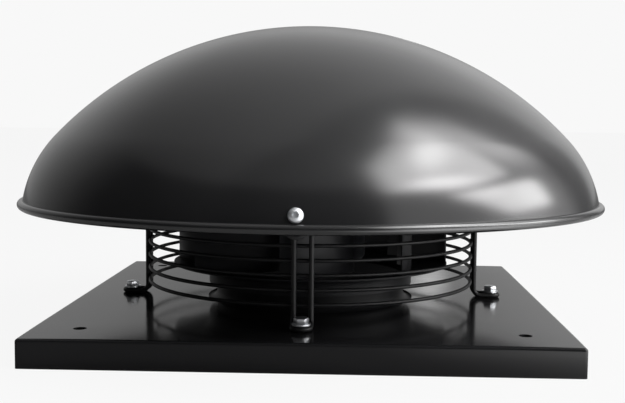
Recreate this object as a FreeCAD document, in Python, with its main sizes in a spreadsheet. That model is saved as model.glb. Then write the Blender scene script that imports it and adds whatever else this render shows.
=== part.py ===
"""Roof exhaust fan with a horizontal discharge under a spun steel cowl.

A folded base plate sits on the roof curb. Four double-wire stays are bolted to it, carry the guard
rings, reach outward under the cowl and end in eyes that take the cowl screws. The motor plate lies
on the arms of the stays. The outer-rotor motor hangs below it, inside a backward-curved impeller
that draws air up through the inlet nozzle. The origin is the centre of the plate's lower rim.
"""
import FreeCAD, Part
import Sketcher
import math
import os

SIZES = {
    # base plate, folded from sheet
    "plate_side": 400,
    "plate_skirt": 22,
    "plate_sheet": 1.5,
    "plate_bend": 2.5,
    "curb_hole_pitch": 326,
    "curb_hole_radius": 5,
    # inlet nozzle, spun from sheet and welded under the plate
    "nozzle_throat": 82,
    "nozzle_bell": 8,
    "nozzle_flange": 112,
    "nozzle_rise": 20,
    "nozzle_sheet": 1.5,
    # double-wire stays
    "wire_radius": 2,
    "eye_radius": 6.6,
    "stay_radius": 144,
    "foot_reach": 15,
    "foot_bend": 6,
    "arm_bend": 8,
    "leg_bend": 6,
    "eye_drop": 6.6,
    # guard rings
    "ring_wire": 1.5,
    "ring_first": 15.5,
    "ring_pitch": 11.25,
    # spun cowl
    "cowl_rise": 235,
    "cowl_sheet": 1.2,
    "shoulder_radius": 105,
    "shoulder_angle": 79.6,
    "rim_radius": 250,
    "bead_radius": 3,
    "bead_height": 83.2,
    "flare_radius": 1.6,
    "cowl_screw_height": 92.8,
    # metric hardware
    "bolt_radius": 3,
    "bolt_hole": 3.3,
    "bolt_head_flats": 10,
    "bolt_head": 4,
    "nut_height": 5,
    "washer_sheet": 1.6,
    "foot_washer_radius": 7,
    "button_radius": 5.25,
    "button_height": 3.3,
    "button_key": 4,
    "eye_washer_radius": 9,
    "gasket_radius": 5.6,
    "gasket_sheet": 1.2,
    "thread_end": 2,
    "screw_radius": 2,
    "screw_head_radius": 3.5,
    "screw_head": 2.2,
    # motor plate and the clamps that hold it on the arms
    "motor_plate_height": 104,
    "motor_plate_margin": 9,
    "motor_plate_sheet": 2,
    "motor_plate_lip": 10,
    "clamp_reach": 18,
    "clamp_length": 17,
    "clamp_width": 26,
    "clamp_sheet": 3,
    "lead_hole": 12,
    # outer-rotor motor
    "flange_radius": 44,
    "flange_disc": 5,
    "flange_screw_circle": 36,
    "tube_radius": 17,
    "tube_bottom": 50,
    "tube_bore": 9,
    "bearing_outer": 13,
    "bearing_width": 8,
    "shaft_radius": 5,
    "shaft_shoulder": 6.5,
    "circlip_radius": 8,
    "circlip_sheet": 1.1,
    "can_radius": 48,
    "can_wall": 3,
    "can_floor": 4,
    "can_bottom": 34,
    "can_flange": 60,
    "can_boss_radius": 12,
    "can_boss": 8,
    "cage_ring": 7.5,
    "stack_height": 28,
    "slot_depth": 13,
    "slot_width": 6,
    "slot_mouth": 2.4,
    "coil_head": 8,
    # impeller
    "impeller_radius": 120,
    "impeller_bottom": 30,
    "impeller_top": 96.5,
    "back_plate_sheet": 1.5,
    "shroud_sheet": 1.2,
    "shroud_curve": 9,
    "neck_length": 17,
    "neck_gap": 6,
    "blade_sheet": 1.5,
    "blade_inner": 80,
    "blade_curve": 70,
    "blade_angle": 34,
    "blade_edge": 0.6,
    "impeller_screw_circle": 54,
    # parts that stand on the motor plate
    "box_length": 84,
    "box_width": 64,
    "box_height": 32,
    "box_wall": 2.5,
    "box_offset": 92,
    "post_radius": 4,
    "lid_height": 7,
    "gland_radius": 9,
    "gland_length": 26,
    "capacitor_radius": 17.5,
    "capacitor_length": 66,
    "capacitor_offset": 92,
    "strap_width": 16,
    "strap_sheet": 1.2,
    "strap_foot": 13,
    # clearances
    "seat_gap": 0.1,
    "skin_gap": 0.35,
    "running_gap": 0.05,
    "air_gap": 0.5,
    "fit_gap": 0.02,
}

STAYS = {"right": 0, "back": 90, "left": 180, "front": 270}
RING_COUNT = 6
BLADE_COUNT = 8
BLADE_START = 29
SLOT_COUNT = 12
IMPELLER_SCREWS = 6
FULL_TURN = 360
HALF_TURN = 180

doc = FreeCAD.newDocument("roof_fan")
sheet = doc.addObject("Spreadsheet::Sheet", "Sizes")
X_AXIS = FreeCAD.Vector(1, 0, 0)
Y_AXIS = FreeCAD.Vector(0, 1, 0)
Z_AXIS = FreeCAD.Vector(0, 0, 1)


class Size:
    """A value together with the sheet expression that it comes from."""

    def __init__(self, value, text):
        self.value = float(value)
        self.text = text

    def __add__(self, other):
        other = as_size(other)
        return Size(self.value + other.value, f"({self.text} + {other.text})")

    def __sub__(self, other):
        other = as_size(other)
        return Size(self.value - other.value, f"({self.text} - {other.text})")

    def __mul__(self, other):
        other = as_size(other)
        return Size(self.value * other.value, f"({self.text} * {other.text})")

    def __truediv__(self, other):
        other = as_size(other)
        return Size(self.value / other.value, f"({self.text} / {other.text})")

    def __neg__(self):
        return Size(-self.value, f"(0 - {self.text})")


def as_size(value):
    return value if isinstance(value, Size) else Size(value, repr(float(value)))


def sine(angle):
    return Size(math.sin(math.radians(angle.value)), f"sin({angle.text})")


def cosine(angle):
    return Size(math.cos(math.radians(angle.value)), f"cos({angle.text})")


def tangent(angle):
    return Size(math.tan(math.radians(angle.value)), f"tan({angle.text})")


def arc_cosine(ratio):
    return Size(math.degrees(math.acos(ratio.value)), f"(acos({ratio.text}) / 1 deg)")


def square_root(value):
    return Size(math.sqrt(value.value), f"sqrt({value.text})")


def fill_sheet():
    """Write each driving size to its own cell and return them by name."""
    sizes = {}
    for row, (name, value) in enumerate(SIZES.items(), start=1):
        cell = f"A{row}"
        sheet.set(cell, str(value))
        sheet.setAlias(cell, name)
        sizes[name] = Size(value, f"Sizes.{name}")
    doc.recompute()
    return sizes


def bind(target, path, value):
    if isinstance(value, Size):
        target.setExpression(path, value.text)


def number(value):
    return as_size(value).value


def new_body(label):
    body = doc.addObject("PartDesign::Body", label)
    body.Label = label
    body.AllowCompound = True
    return body


def origin_feature(body, role):
    return next(item for item in body.Origin.OriginFeatures if item.Role == role)


def sketch_on(body, name, role, base=(0, 0, 0), turn_axis=Z_AXIS, turn=0):
    """Add a sketch to a body's origin plane, moved by base and turned about one local axis."""
    sketch = body.newObject("Sketcher::SketchObject", name)
    sketch.AttachmentSupport = [(origin_feature(body, role), "")]
    sketch.MapMode = "FlatFace"
    place = FreeCAD.Vector(*[number(value) for value in base])
    sketch.AttachmentOffset = FreeCAD.Placement(place, FreeCAD.Rotation(turn_axis, number(turn)))
    for letter, value in zip("xyz", base):
        bind(sketch, f"AttachmentOffset.Base.{letter}", value)
    bind(sketch, "AttachmentOffset.Rotation.Angle", turn)
    return sketch


def arc_between(first, last, radius, side):
    """The short arc from first to last with its centre left or right of the way it goes."""
    start = FreeCAD.Vector(first[0], first[1], 0)
    end = FreeCAD.Vector(last[0], last[1], 0)
    chord = end - start
    height = math.sqrt(max(radius ** 2 - (chord.Length / 2) ** 2, 0))
    normal = FreeCAD.Vector(-chord.y, chord.x, 0).normalize()
    centre = (start + end) * 0.5 + normal * (height if side == "left" else -height)
    if side == "right":
        start, end = end, start
    begin_angle = math.atan2(start.y - centre.y, start.x - centre.x)
    end_angle = math.atan2(end.y - centre.y, end.x - centre.x)
    if end_angle <= begin_angle:
        end_angle += 2 * math.pi
    return Part.ArcOfCircle(Part.Circle(centre, Z_AXIS, radius), begin_angle, end_angle)


def fix_point(sketch, geometry, end, point):
    """Hold one end of an edge at its two coordinates."""
    for kind, axis, value in (("DistanceX", -2, point[0]), ("DistanceY", -1, point[1])):
        if not isinstance(value, Size) and value == 0:
            sketch.addConstraint(Sketcher.Constraint("PointOnObject", geometry, end, axis))
        else:
            index = sketch.addConstraint(Sketcher.Constraint(kind, geometry, end, number(value)))
            bind(sketch, f"Constraints[{index}]", value)


def draw(sketch, points, closed=True):
    """Draw an outline. A point is (x, y), or (x, y, radius, side) where an arc leaves it."""
    values = [(number(point[0]), number(point[1])) for point in points]
    count = len(points)
    first_edge = sketch.GeometryCount
    ends = []
    for index in range(count if closed else count - 1):
        start, end = values[index], values[(index + 1) % count]
        point = points[index]
        if len(point) == 4:
            geometry = sketch.addGeometry(arc_between(start, end, number(point[2]), point[3]), False)
            index_radius = sketch.addConstraint(
                Sketcher.Constraint("Radius", geometry, number(point[2])))
            bind(sketch, f"Constraints[{index_radius}]", point[2])
            ends.append((1, 2) if point[3] == "left" else (2, 1))
        else:
            line = Part.LineSegment(FreeCAD.Vector(*start, 0), FreeCAD.Vector(*end, 0))
            geometry = sketch.addGeometry(line, False)
            ends.append((1, 2))
    edges = len(ends)
    for index in range(edges if closed else edges - 1):
        after = (index + 1) % edges
        sketch.addConstraint(Sketcher.Constraint(
            "Coincident", first_edge + index, ends[index][1], first_edge + after, ends[after][0]))
    for index in range(edges):
        fix_point(sketch, first_edge + index, ends[index][0], points[index])
    if not closed:
        fix_point(sketch, first_edge + edges - 1, ends[-1][1], points[-1])


def draw_circle(sketch, x, y, radius):
    circle = Part.Circle(FreeCAD.Vector(number(x), number(y), 0), Z_AXIS, number(radius))
    geometry = sketch.addGeometry(circle, False)
    index = sketch.addConstraint(Sketcher.Constraint("Radius", geometry, number(radius)))
    bind(sketch, f"Constraints[{index}]", radius)
    fix_point(sketch, geometry, 3, (x, y))


def draw_box(sketch, left, bottom, right, top):
    draw(sketch, [(left, bottom), (right, bottom), (right, top), (left, top)])


def draw_hexagon(sketch, flats):
    """A regular hexagon round the sketch's origin, with two flats parallel to its second axis."""
    half = flats / 2
    reach = half / cosine(as_size(30))
    points = [
        (half, reach / 2), (0, reach), (-half, reach / 2),
        (-half, -(reach / 2)), (0, -reach), (half, -(reach / 2)),
    ]
    draw(sketch, points)


def finish_feature(body, feature):
    body.Tip = feature
    return feature


def turn_profile(body, sketch, axis="V_Axis", angle=FULL_TURN, reverse=False, cut=False):
    kind = "PartDesign::Groove" if cut else "PartDesign::Revolution"
    feature = body.newObject(kind, f"{sketch.Name}_turned")
    feature.Profile = sketch
    feature.ReferenceAxis = (sketch, [axis])
    feature.Angle = angle
    feature.Reversed = reverse
    return finish_feature(body, feature)


def pad(body, sketch, length, reverse=False, midplane=False):
    feature = body.newObject("PartDesign::Pad", f"{sketch.Name}_pad")
    feature.Profile = sketch
    feature.Length = number(length)
    bind(feature, "Length", length)
    feature.Reversed = reverse
    feature.Midplane = midplane
    return finish_feature(body, feature)


def pocket(body, sketch, length=None, reverse=False):
    """Cut a sketch into the body, to a depth or right through both ways."""
    feature = body.newObject("PartDesign::Pocket", f"{sketch.Name}_pocket")
    feature.Profile = sketch
    if length is None:
        feature.Type = "ThroughAll"
        feature.Midplane = True
    else:
        feature.Length = number(length)
        bind(feature, "Length", length)
        feature.Reversed = reverse
    return finish_feature(body, feature)


def repeat_round(body, originals, count):
    feature = body.newObject("PartDesign::PolarPattern", f"{body.Name}_round")
    feature.Originals = originals
    feature.Axis = (origin_feature(body, "Z_Axis"), [""])
    feature.Angle = FULL_TURN
    feature.Occurrences = count
    return finish_feature(body, feature)


def mirror(body, originals, role):
    feature = body.newObject("PartDesign::Mirrored", f"{body.Name}_{role[:2]}_mirror")
    feature.Originals = originals
    feature.MirrorPlane = (origin_feature(body, role), [""])
    return finish_feature(body, feature)


def turned_part(label, points):
    """A piece of revolution about the fan's axis from its (radius, height) outline."""
    body = new_body(label)
    sketch = sketch_on(body, f"{label}_section", "XZ_Plane")
    draw(sketch, points)
    turn_profile(body, sketch)
    return body


def section_along(body, name, spot, turn):
    """A sketch in the upright plane whose first axis is a fastener's own axis."""
    return sketch_on(body, name, "XZ_Plane", (spot[0], spot[1], 0), Z_AXIS, turn)


def section_across(body, name, spot, turn, along=0):
    """A sketch square to a fastener's axis, a distance along that axis from its spot."""
    shift = as_size(along)
    across = as_size(turn)
    x = as_size(spot[0]) + shift * cosine(across)
    z = as_size(spot[1]) + shift * sine(across)
    return sketch_on(body, name, "YZ_Plane", (0, z, x), X_AXIS, -across)


def ring_of_turned(label, spot, turn, points, count=4):
    """A group of like turned pieces round the fan's axis."""
    body = new_body(label)
    sketch = section_along(body, f"{label}_section", spot, turn)
    draw(sketch, points)
    feature = turn_profile(body, sketch, "H_Axis")
    repeat_round(body, [feature], count)
    return body


def ring_of_bolts(label, spot, turn, shank, head_flats, head, count=4):
    """Hexagon bolts whose head sits on the spot and whose shank runs back from it."""
    body = new_body(label)
    section = section_along(body, f"{label}_shank", spot, turn)
    end = s["thread_end"] / 2
    draw(section, [(0, 0), (0, s["bolt_radius"]), (-(shank - end), s["bolt_radius"]),
                   (-shank, s["bolt_radius"] - end), (-shank, 0)])
    stem = turn_profile(body, section, "H_Axis")
    flat = section_across(body, f"{label}_head", spot, turn)
    draw_hexagon(flat, head_flats)
    crown = pad(body, flat, head)
    repeat_round(body, [stem, crown], count)
    return body


def ring_of_nuts(label, spot, turn, flats, height, bore, count=4):
    """Hexagon nuts that rise from the spot along the axis."""
    body = new_body(label)
    flat = section_across(body, f"{label}_outline", spot, turn)
    draw_hexagon(flat, flats)
    draw_circle(flat, 0, 0, bore)
    block = pad(body, flat, height)
    repeat_round(body, [block], count)
    return body


s = fill_sheet()

# levels, all above the lower rim of the base plate
deck = s["plate_skirt"]
under_deck = deck - s["plate_sheet"]
foot_level = deck + s["seat_gap"] + s["wire_radius"]
wire_top = foot_level + s["wire_radius"]
motor_plate_under = deck + s["motor_plate_height"]
motor_plate_top = motor_plate_under + s["motor_plate_sheet"]
arm_level = motor_plate_under - s["seat_gap"] - s["wire_radius"]

# circles round the fan's axis
foot_circle = s["stay_radius"] + s["foot_reach"]
clamp_circle = s["stay_radius"] + s["clamp_reach"]
motor_plate_radius = clamp_circle + s["motor_plate_margin"]

# cowl: the bead sets the wall's foot, and the crown's arc runs smoothly into the shoulder's
bead_x = s["rim_radius"] - s["bead_radius"]
bead_z = deck + s["bead_height"]
wall_sine = sine(s["shoulder_angle"])
wall_cosine = cosine(s["shoulder_angle"])
wall_foot_x = bead_x - s["flare_radius"] * wall_sine
wall_foot_z = bead_z + s["bead_radius"] + s["flare_radius"] - s["flare_radius"] * wall_cosine
shoulder_x = wall_foot_x - s["shoulder_radius"] * wall_sine
shoulder_z = wall_foot_z - s["shoulder_radius"] * wall_cosine
apex = deck + s["cowl_rise"]
crown_drop = apex - shoulder_z
crown_power = crown_drop * crown_drop - s["shoulder_radius"] * s["shoulder_radius"]
crown_radius = (shoulder_x * shoulder_x + crown_power) / (crown_drop - s["shoulder_radius"]) / 2
crown_centre = apex - crown_radius
crown_sine = shoulder_x / (crown_radius - s["shoulder_radius"])
crown_cosine = (shoulder_z - crown_centre) / (crown_radius - s["shoulder_radius"])

# cowl screw: where its axis meets the outside, and how far it leans back
screw_z = deck + s["cowl_screw_height"]
screw_angle = arc_cosine((screw_z - shoulder_z) / s["shoulder_radius"])
screw_lift = as_size(90) - screw_angle
screw_spot = (shoulder_x + s["shoulder_radius"] * sine(screw_angle), screw_z)


def behind_skin(depth):
    """The point on the cowl screw's axis that lies a depth inside the outer skin."""
    return (screw_spot[0] - depth * sine(screw_angle), screw_spot[1] - depth * cosine(screw_angle))


gasket_depth = s["cowl_sheet"] + s["skin_gap"]
leg_depth = gasket_depth + s["gasket_sheet"] + s["seat_gap"] + s["wire_radius"]
eye_washer_depth = leg_depth + s["wire_radius"] + s["seat_gap"]
cowl_nut_depth = eye_washer_depth + s["washer_sheet"] + s["seat_gap"]


def base_plate():
    body = new_body("base_plate")
    half = s["plate_side"] / 2
    outline = sketch_on(body, "plate_outline", "XY_Plane")
    draw_box(outline, -half, -half, half, half)
    block = pad(body, outline, s["plate_skirt"])
    doc.recompute()
    bends = []
    for index, edge in enumerate(block.Shape.Edges, start=1):
        if edge.BoundBox.ZMax > number(deck) - 1:
            bends.append(f"Edge{index}")
    fold = body.newObject("PartDesign::Fillet", "plate_folds")
    fold.Base = (block, bends)
    fold.Radius = number(s["plate_bend"])
    bind(fold, "Radius", s["plate_bend"])
    body.Tip = fold
    doc.recompute()
    floor = min(enumerate(fold.Shape.Faces, start=1), key=lambda item: item[1].CenterOfMass.z)
    shell = body.newObject("PartDesign::Thickness", "plate_shell")
    shell.Base = (fold, [f"Face{floor[0]}"])
    shell.Value = number(s["plate_sheet"])
    bind(shell, "Value", s["plate_sheet"])
    shell.Reversed = True
    shell.Join = 0
    body.Tip = shell
    inlet = sketch_on(body, "plate_inlet", "XY_Plane")
    draw_circle(inlet, 0, 0, s["nozzle_throat"] + s["nozzle_bell"] + s["seat_gap"])
    pocket(body, inlet)
    holes = sketch_on(body, "plate_curb_holes", "XY_Plane")
    pitch = s["curb_hole_pitch"] / 2
    for x, y in ((pitch, pitch), (-pitch, pitch), (-pitch, -pitch), (pitch, -pitch)):
        draw_circle(holes, x, y, s["curb_hole_radius"])
    pocket(body, holes)
    feet = sketch_on(body, "plate_foot_holes", "XY_Plane")
    reach = foot_circle
    for x, y in ((reach, 0), (0, reach), (-reach, 0), (0, -reach)):
        draw_circle(feet, x, y, s["bolt_hole"])
    pocket(body, feet)
    return body


def inlet_nozzle():
    """Bell-mouthed ring: a flange under the plate, a quarter-round bell and a short throat."""
    throat = s["nozzle_throat"]
    gauge = s["nozzle_sheet"]
    bell = s["nozzle_bell"]
    top = deck + s["nozzle_rise"]
    lower = under_deck - gauge
    return turned_part("inlet_nozzle", [
        (s["nozzle_flange"], lower), (s["nozzle_flange"], under_deck),
        (throat + bell, under_deck, bell, "right"), (throat, under_deck + bell),
        (throat, top), (throat - gauge, top),
        (throat - gauge, under_deck + bell, bell + gauge, "left"), (throat + bell, lower),
    ])


def guard_stay(name, azimuth):
    """A closed loop of wire: an eye on the plate, two uprights, two arms and the cowl eye."""
    body = new_body(f"guard_stay_{name}")
    leg = behind_skin(leg_depth)
    eye = (leg[0] + s["eye_drop"] * cosine(screw_angle), leg[1] - s["eye_drop"] * sine(screw_angle))
    corner_x = leg[0] - (arm_level - leg[1]) / tangent(screw_angle)
    run = s["leg_bend"] * tangent(screw_angle / 2)
    reach = foot_circle
    stand = s["stay_radius"]
    path = sketch_on(body, f"stay_{name}_path", "XZ_Plane", (0, 0, -s["eye_radius"]))
    draw(path, [
        (reach, foot_level), (stand + s["foot_bend"], foot_level, s["foot_bend"], "right"),
        (stand, foot_level + s["foot_bend"]),
        (stand, arm_level - s["arm_bend"], s["arm_bend"], "right"),
        (stand + s["arm_bend"], arm_level), (corner_x - run, arm_level, s["leg_bend"], "right"),
        (corner_x + run * cosine(screw_angle), arm_level - run * sine(screw_angle)), eye,
    ], closed=False)
    foot = sketch_on(body, f"stay_{name}_foot", "YZ_Plane", (0, 0, reach))
    draw_circle(foot, s["eye_radius"], foot_level, s["wire_radius"])
    wire = body.newObject("PartDesign::AdditivePipe", f"stay_{name}_wire")
    wire.Profile = foot
    wire.Spine = (path, [])
    finish_feature(body, wire)
    foot_eye = sketch_on(body, f"stay_{name}_foot_eye", "YZ_Plane", (0, 0, reach))
    draw_circle(foot_eye, s["eye_radius"], foot_level, s["wire_radius"])
    turn_profile(body, foot_eye, angle=HALF_TURN, reverse=True)
    cowl_eye = sketch_on(body, f"stay_{name}_cowl_eye", "YZ_Plane", (0, eye[1], eye[0]),
                         X_AXIS, screw_angle)
    draw_circle(cowl_eye, s["eye_radius"], 0, s["wire_radius"])
    turn_profile(body, cowl_eye, angle=HALF_TURN, reverse=True)
    mirror(body, [wire], "XZ_Plane")
    body.Placement = FreeCAD.Placement(FreeCAD.Vector(), FreeCAD.Rotation(Z_AXIS, azimuth))
    return body


def guard_ring(count):
    ring = doc.addObject("Part::Torus", f"guard_ring_{count + 1}")
    ring.Label = f"guard_ring_{count + 1}"
    circle = s["stay_radius"] - s["wire_radius"] - s["ring_wire"] - s["seat_gap"]
    level = deck + s["ring_first"] + s["ring_pitch"] * count
    bind(ring, "Radius1", circle)
    bind(ring, "Radius2", s["ring_wire"])
    bind(ring, "Placement.Base.z", level)
    return ring


def cowl():
    """Spun dome of two arcs with a flared foot and a rolled bead, drilled for its screws."""
    body = new_body("cowl")
    gauge = s["cowl_sheet"]
    crown, shoulder = crown_radius, s["shoulder_radius"]
    inner_crown, inner_shoulder = crown - gauge, shoulder - gauge
    bead = s["bead_radius"]
    section = sketch_on(body, "cowl_section", "XZ_Plane")
    draw(section, [
        (0, crown_centre + crown, crown, "right"),
        (crown * crown_sine, crown_centre + crown * crown_cosine, shoulder, "right"),
        (wall_foot_x, wall_foot_z, s["flare_radius"], "left"),
        (bead_x, bead_z + bead, bead, "right"), (bead_x + bead, bead_z, bead, "right"),
        (bead_x, bead_z - bead, bead, "right"), (bead_x - bead, bead_z),
        (shoulder_x + inner_shoulder * wall_sine, shoulder_z + inner_shoulder * wall_cosine,
         inner_shoulder, "left"),
        (inner_crown * crown_sine, crown_centre + inner_crown * crown_cosine, inner_crown, "left"),
        (0, crown_centre + inner_crown),
    ])
    turn_profile(body, section)
    hole = section_across(body, "cowl_screw_hole", screw_spot, screw_lift, s["bead_radius"])
    draw_circle(hole, 0, 0, s["bolt_hole"])
    drilled = pocket(body, hole, s["bead_radius"] * 3)
    repeat_round(body, [drilled], len(STAYS))
    return body


def cowl_screws():
    """Button-head screws, square to the cowl's skin, with a hexagon recess."""
    body = new_body("cowl_screws")
    length = cowl_nut_depth + s["nut_height"] + s["thread_end"]
    end = s["thread_end"] / 2
    head, crown = s["button_radius"], s["button_height"]
    section = section_along(body, "cowl_screw_section", screw_spot, screw_lift)
    rim = s["seat_gap"] + crown / 5
    draw(section, [
        (s["seat_gap"], s["bolt_radius"]), (s["seat_gap"], head), (rim, head, head * 1.1, "right"),
        (s["seat_gap"] + crown, head * 0.5), (s["seat_gap"] + crown, 0), (-length, 0),
        (-length, s["bolt_radius"] - end), (-(length - end), s["bolt_radius"]),
    ])
    stem = turn_profile(body, section, "H_Axis")
    key = section_across(body, "cowl_screw_key", screw_spot, screw_lift, s["seat_gap"] + crown)
    draw_hexagon(key, s["button_key"])
    recess = pocket(body, key, crown * 0.6)
    repeat_round(body, [stem, recess], len(STAYS))
    return body


def cowl_hardware():
    """Rubber washer, steel washer and nut behind the skin at each cowl eye."""
    ring = s["bolt_hole"]
    ring_of_turned("cowl_gaskets", behind_skin(gasket_depth), screw_lift,
                   [(0, ring), (0, s["gasket_radius"]), (-s["gasket_sheet"], s["gasket_radius"]),
                    (-s["gasket_sheet"], ring)])
    ring_of_turned("eye_washers", behind_skin(eye_washer_depth), screw_lift,
                   [(0, ring), (0, s["eye_washer_radius"]),
                    (-s["washer_sheet"], s["eye_washer_radius"]), (-s["washer_sheet"], ring)])
    ring_of_nuts("cowl_nuts", behind_skin(cowl_nut_depth + s["nut_height"]), screw_lift,
                 s["bolt_head_flats"], s["nut_height"], s["bolt_radius"] + s["fit_gap"])


def foot_hardware():
    """Washer and bolt on each foot eye, nut under the plate."""
    reach = foot_circle
    washer_level = wire_top + s["seat_gap"]
    head_level = washer_level + s["washer_sheet"]
    nut_top = under_deck - s["seat_gap"]
    ring_of_turned("foot_washers", (reach, washer_level), 90,
                   [(0, s["bolt_hole"]), (0, s["foot_washer_radius"]),
                    (s["washer_sheet"], s["foot_washer_radius"]), (s["washer_sheet"], s["bolt_hole"])])
    shank = head_level - nut_top + s["nut_height"] + s["thread_end"]
    ring_of_bolts("foot_bolts", (reach, head_level), 90, shank, s["bolt_head_flats"], s["bolt_head"])
    ring_of_nuts("foot_nuts", (reach, nut_top - s["nut_height"]), 90, s["bolt_head_flats"],
                 s["nut_height"], s["bolt_radius"] + s["fit_gap"])


def motor_plate():
    """Round sheet plate with a turned-up lip, drilled for the motor, the clamps and the leads."""
    gauge = s["motor_plate_sheet"]
    radius = motor_plate_radius
    lip = motor_plate_under + s["motor_plate_lip"]
    body = turned_part("motor_plate", [
        (s["lead_hole"], motor_plate_under), (radius - gauge, motor_plate_under, gauge, "left"),
        (radius, motor_plate_under + gauge), (radius, lip), (radius - gauge, lip),
        (radius - gauge, motor_plate_top), (s["lead_hole"], motor_plate_top),
    ])
    clamp = sketch_on(body, "plate_clamp_hole", "XY_Plane", (0, 0, motor_plate_under))
    draw_circle(clamp, clamp_circle, 0, s["bolt_hole"])
    clamp_cut = pocket(body, clamp)
    motor = sketch_on(body, "plate_motor_hole", "XY_Plane", (0, 0, motor_plate_under))
    draw_circle(motor, s["flange_screw_circle"], 0, s["screw_radius"] + s["running_gap"] * 4)
    motor_cut = pocket(body, motor)
    repeat_round(body, [clamp_cut, motor_cut], len(STAYS))
    return body


def arm_clamps():
    """A plate under each pair of arm wires, drawn up to the motor plate by a bolt and nut."""
    top = arm_level - s["wire_radius"] - s["seat_gap"]
    body = new_body("arm_clamps")
    outline = sketch_on(body, "clamp_outline", "XY_Plane", (0, 0, top))
    centre = clamp_circle
    inner, outer = centre - s["clamp_length"] / 2, centre + s["clamp_length"] / 2
    draw_box(outline, inner, -(s["clamp_width"] / 2), outer, s["clamp_width"] / 2)
    draw_circle(outline, centre, 0, s["bolt_hole"])
    strip = pad(body, outline, s["clamp_sheet"], reverse=True)
    repeat_round(body, [strip], len(STAYS))
    under = top - s["clamp_sheet"] - s["seat_gap"]
    nut_level = motor_plate_top + s["seat_gap"]
    shank = nut_level + s["nut_height"] + s["thread_end"] - under
    ring_of_bolts("clamp_bolts", (centre, under), -90, shank, s["bolt_head_flats"], s["bolt_head"])
    ring_of_nuts("clamp_nuts", (centre, nut_level), 90, s["bolt_head_flats"], s["nut_height"],
                 s["bolt_radius"] + s["fit_gap"])


# motor levels
flange_under = motor_plate_under - s["flange_disc"]
tube_end = deck + s["tube_bottom"]
can_base = deck + s["can_bottom"]
can_inner = s["can_radius"] - s["can_wall"]
boss_top = can_base + s["can_floor"] + s["can_boss"]
back_plate_top = deck + s["impeller_top"]
back_plate_under = back_plate_top - s["back_plate_sheet"]
cage_inner = can_inner - s["fit_gap"] - s["cage_ring"]
stack_radius = cage_inner - s["air_gap"]
stack_middle = (tube_end + flange_under) / 2
stack_bottom = stack_middle - s["stack_height"] / 2
stack_top = stack_middle + s["stack_height"] / 2
seat_radius = s["bearing_outer"] + s["fit_gap"]
shaft_top = motor_plate_under - s["thread_end"]
circlip_level = flange_under + s["seat_gap"]


def motor_flange():
    """Cast flange with the tube that carries both bearings and the stator."""
    tube, bore = s["tube_radius"], s["tube_bore"]
    body = turned_part("motor_flange", [
        (seat_radius, motor_plate_under), (s["flange_radius"], motor_plate_under),
        (s["flange_radius"], flange_under), (tube, flange_under), (tube, tube_end),
        (seat_radius, tube_end), (seat_radius, tube_end + s["bearing_width"]),
        (bore, tube_end + s["bearing_width"]), (bore, flange_under - s["bearing_width"]),
        (seat_radius, flange_under - s["bearing_width"]),
    ])
    hole = sketch_on(body, "flange_hole", "XY_Plane", (0, 0, flange_under))
    draw_circle(hole, s["flange_screw_circle"], 0, s["screw_radius"] + s["fit_gap"])
    drilled = pocket(body, hole)
    repeat_round(body, [drilled], len(STAYS))
    return body


def bearing(label, bottom):
    """A shielded ball bearing: two rings with a sunk shield between them on both faces."""
    inner, outer = s["shaft_radius"] + s["running_gap"], s["bearing_outer"]
    land = (outer - inner) / 4
    top = bottom + s["bearing_width"]
    sink = s["bearing_width"] / 16
    return turned_part(label, [
        (inner, bottom), (inner + land, bottom), (inner + land, bottom + sink),
        (outer - land, bottom + sink), (outer - land, bottom), (outer, bottom),
        (outer, top), (outer - land, top), (outer - land, top - sink),
        (inner + land, top - sink), (inner + land, top), (inner, top),
    ])


def stator_core():
    """Laminated stack with half-closed slots for the winding."""
    body = turned_part("stator_core", [
        (s["tube_radius"] + s["fit_gap"], stack_bottom), (stack_radius, stack_bottom),
        (stack_radius, stack_top), (s["tube_radius"] + s["fit_gap"], stack_top),
    ])
    slot = sketch_on(body, "stator_slot", "XY_Plane", (0, 0, stack_bottom))
    mouth, half = s["slot_mouth"] / 2, s["slot_width"] / 2
    tooth = stack_radius - s["slot_mouth"]
    draw(slot, [
        (stack_radius - s["slot_depth"], -half), (tooth, -half), (tooth, -mouth),
        (stack_radius + 1, -mouth), (stack_radius + 1, mouth), (tooth, mouth), (tooth, half),
        (stack_radius - s["slot_depth"], half),
    ])
    cut = pocket(body, slot)
    repeat_round(body, [cut], SLOT_COUNT)
    return body


def stator_windings():
    """Coil sides in the slots, joined by a round coil head at each end of the stack."""
    body = new_body("stator_windings")
    inner = stack_radius - s["slot_depth"] + s["seat_gap"]
    outer = stack_radius - s["slot_mouth"] - s["seat_gap"]
    rounding = s["coil_head"] / 4
    upper = stack_top + s["seat_gap"]
    lower = stack_bottom - s["seat_gap"]
    heads = sketch_on(body, "coil_heads", "XZ_Plane")
    for near, far in ((upper, upper + s["coil_head"]), (lower, lower - s["coil_head"])):
        turn = "left" if far.value > near.value else "right"
        step = rounding if turn == "left" else -rounding
        draw(heads, [
            (inner, near), (outer, near), (outer, far - step, rounding, turn),
            (outer - rounding, far), (inner + rounding, far, rounding, turn), (inner, far - step),
        ])
    rings = turn_profile(body, heads)
    side = sketch_on(body, "coil_side", "XY_Plane", (0, 0, lower))
    half = s["slot_width"] / 2 - s["seat_gap"]
    draw_box(side, inner, -half, outer, half)
    bar = pad(body, side, upper - lower)
    repeat_round(body, [bar], SLOT_COUNT)
    return body


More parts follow.
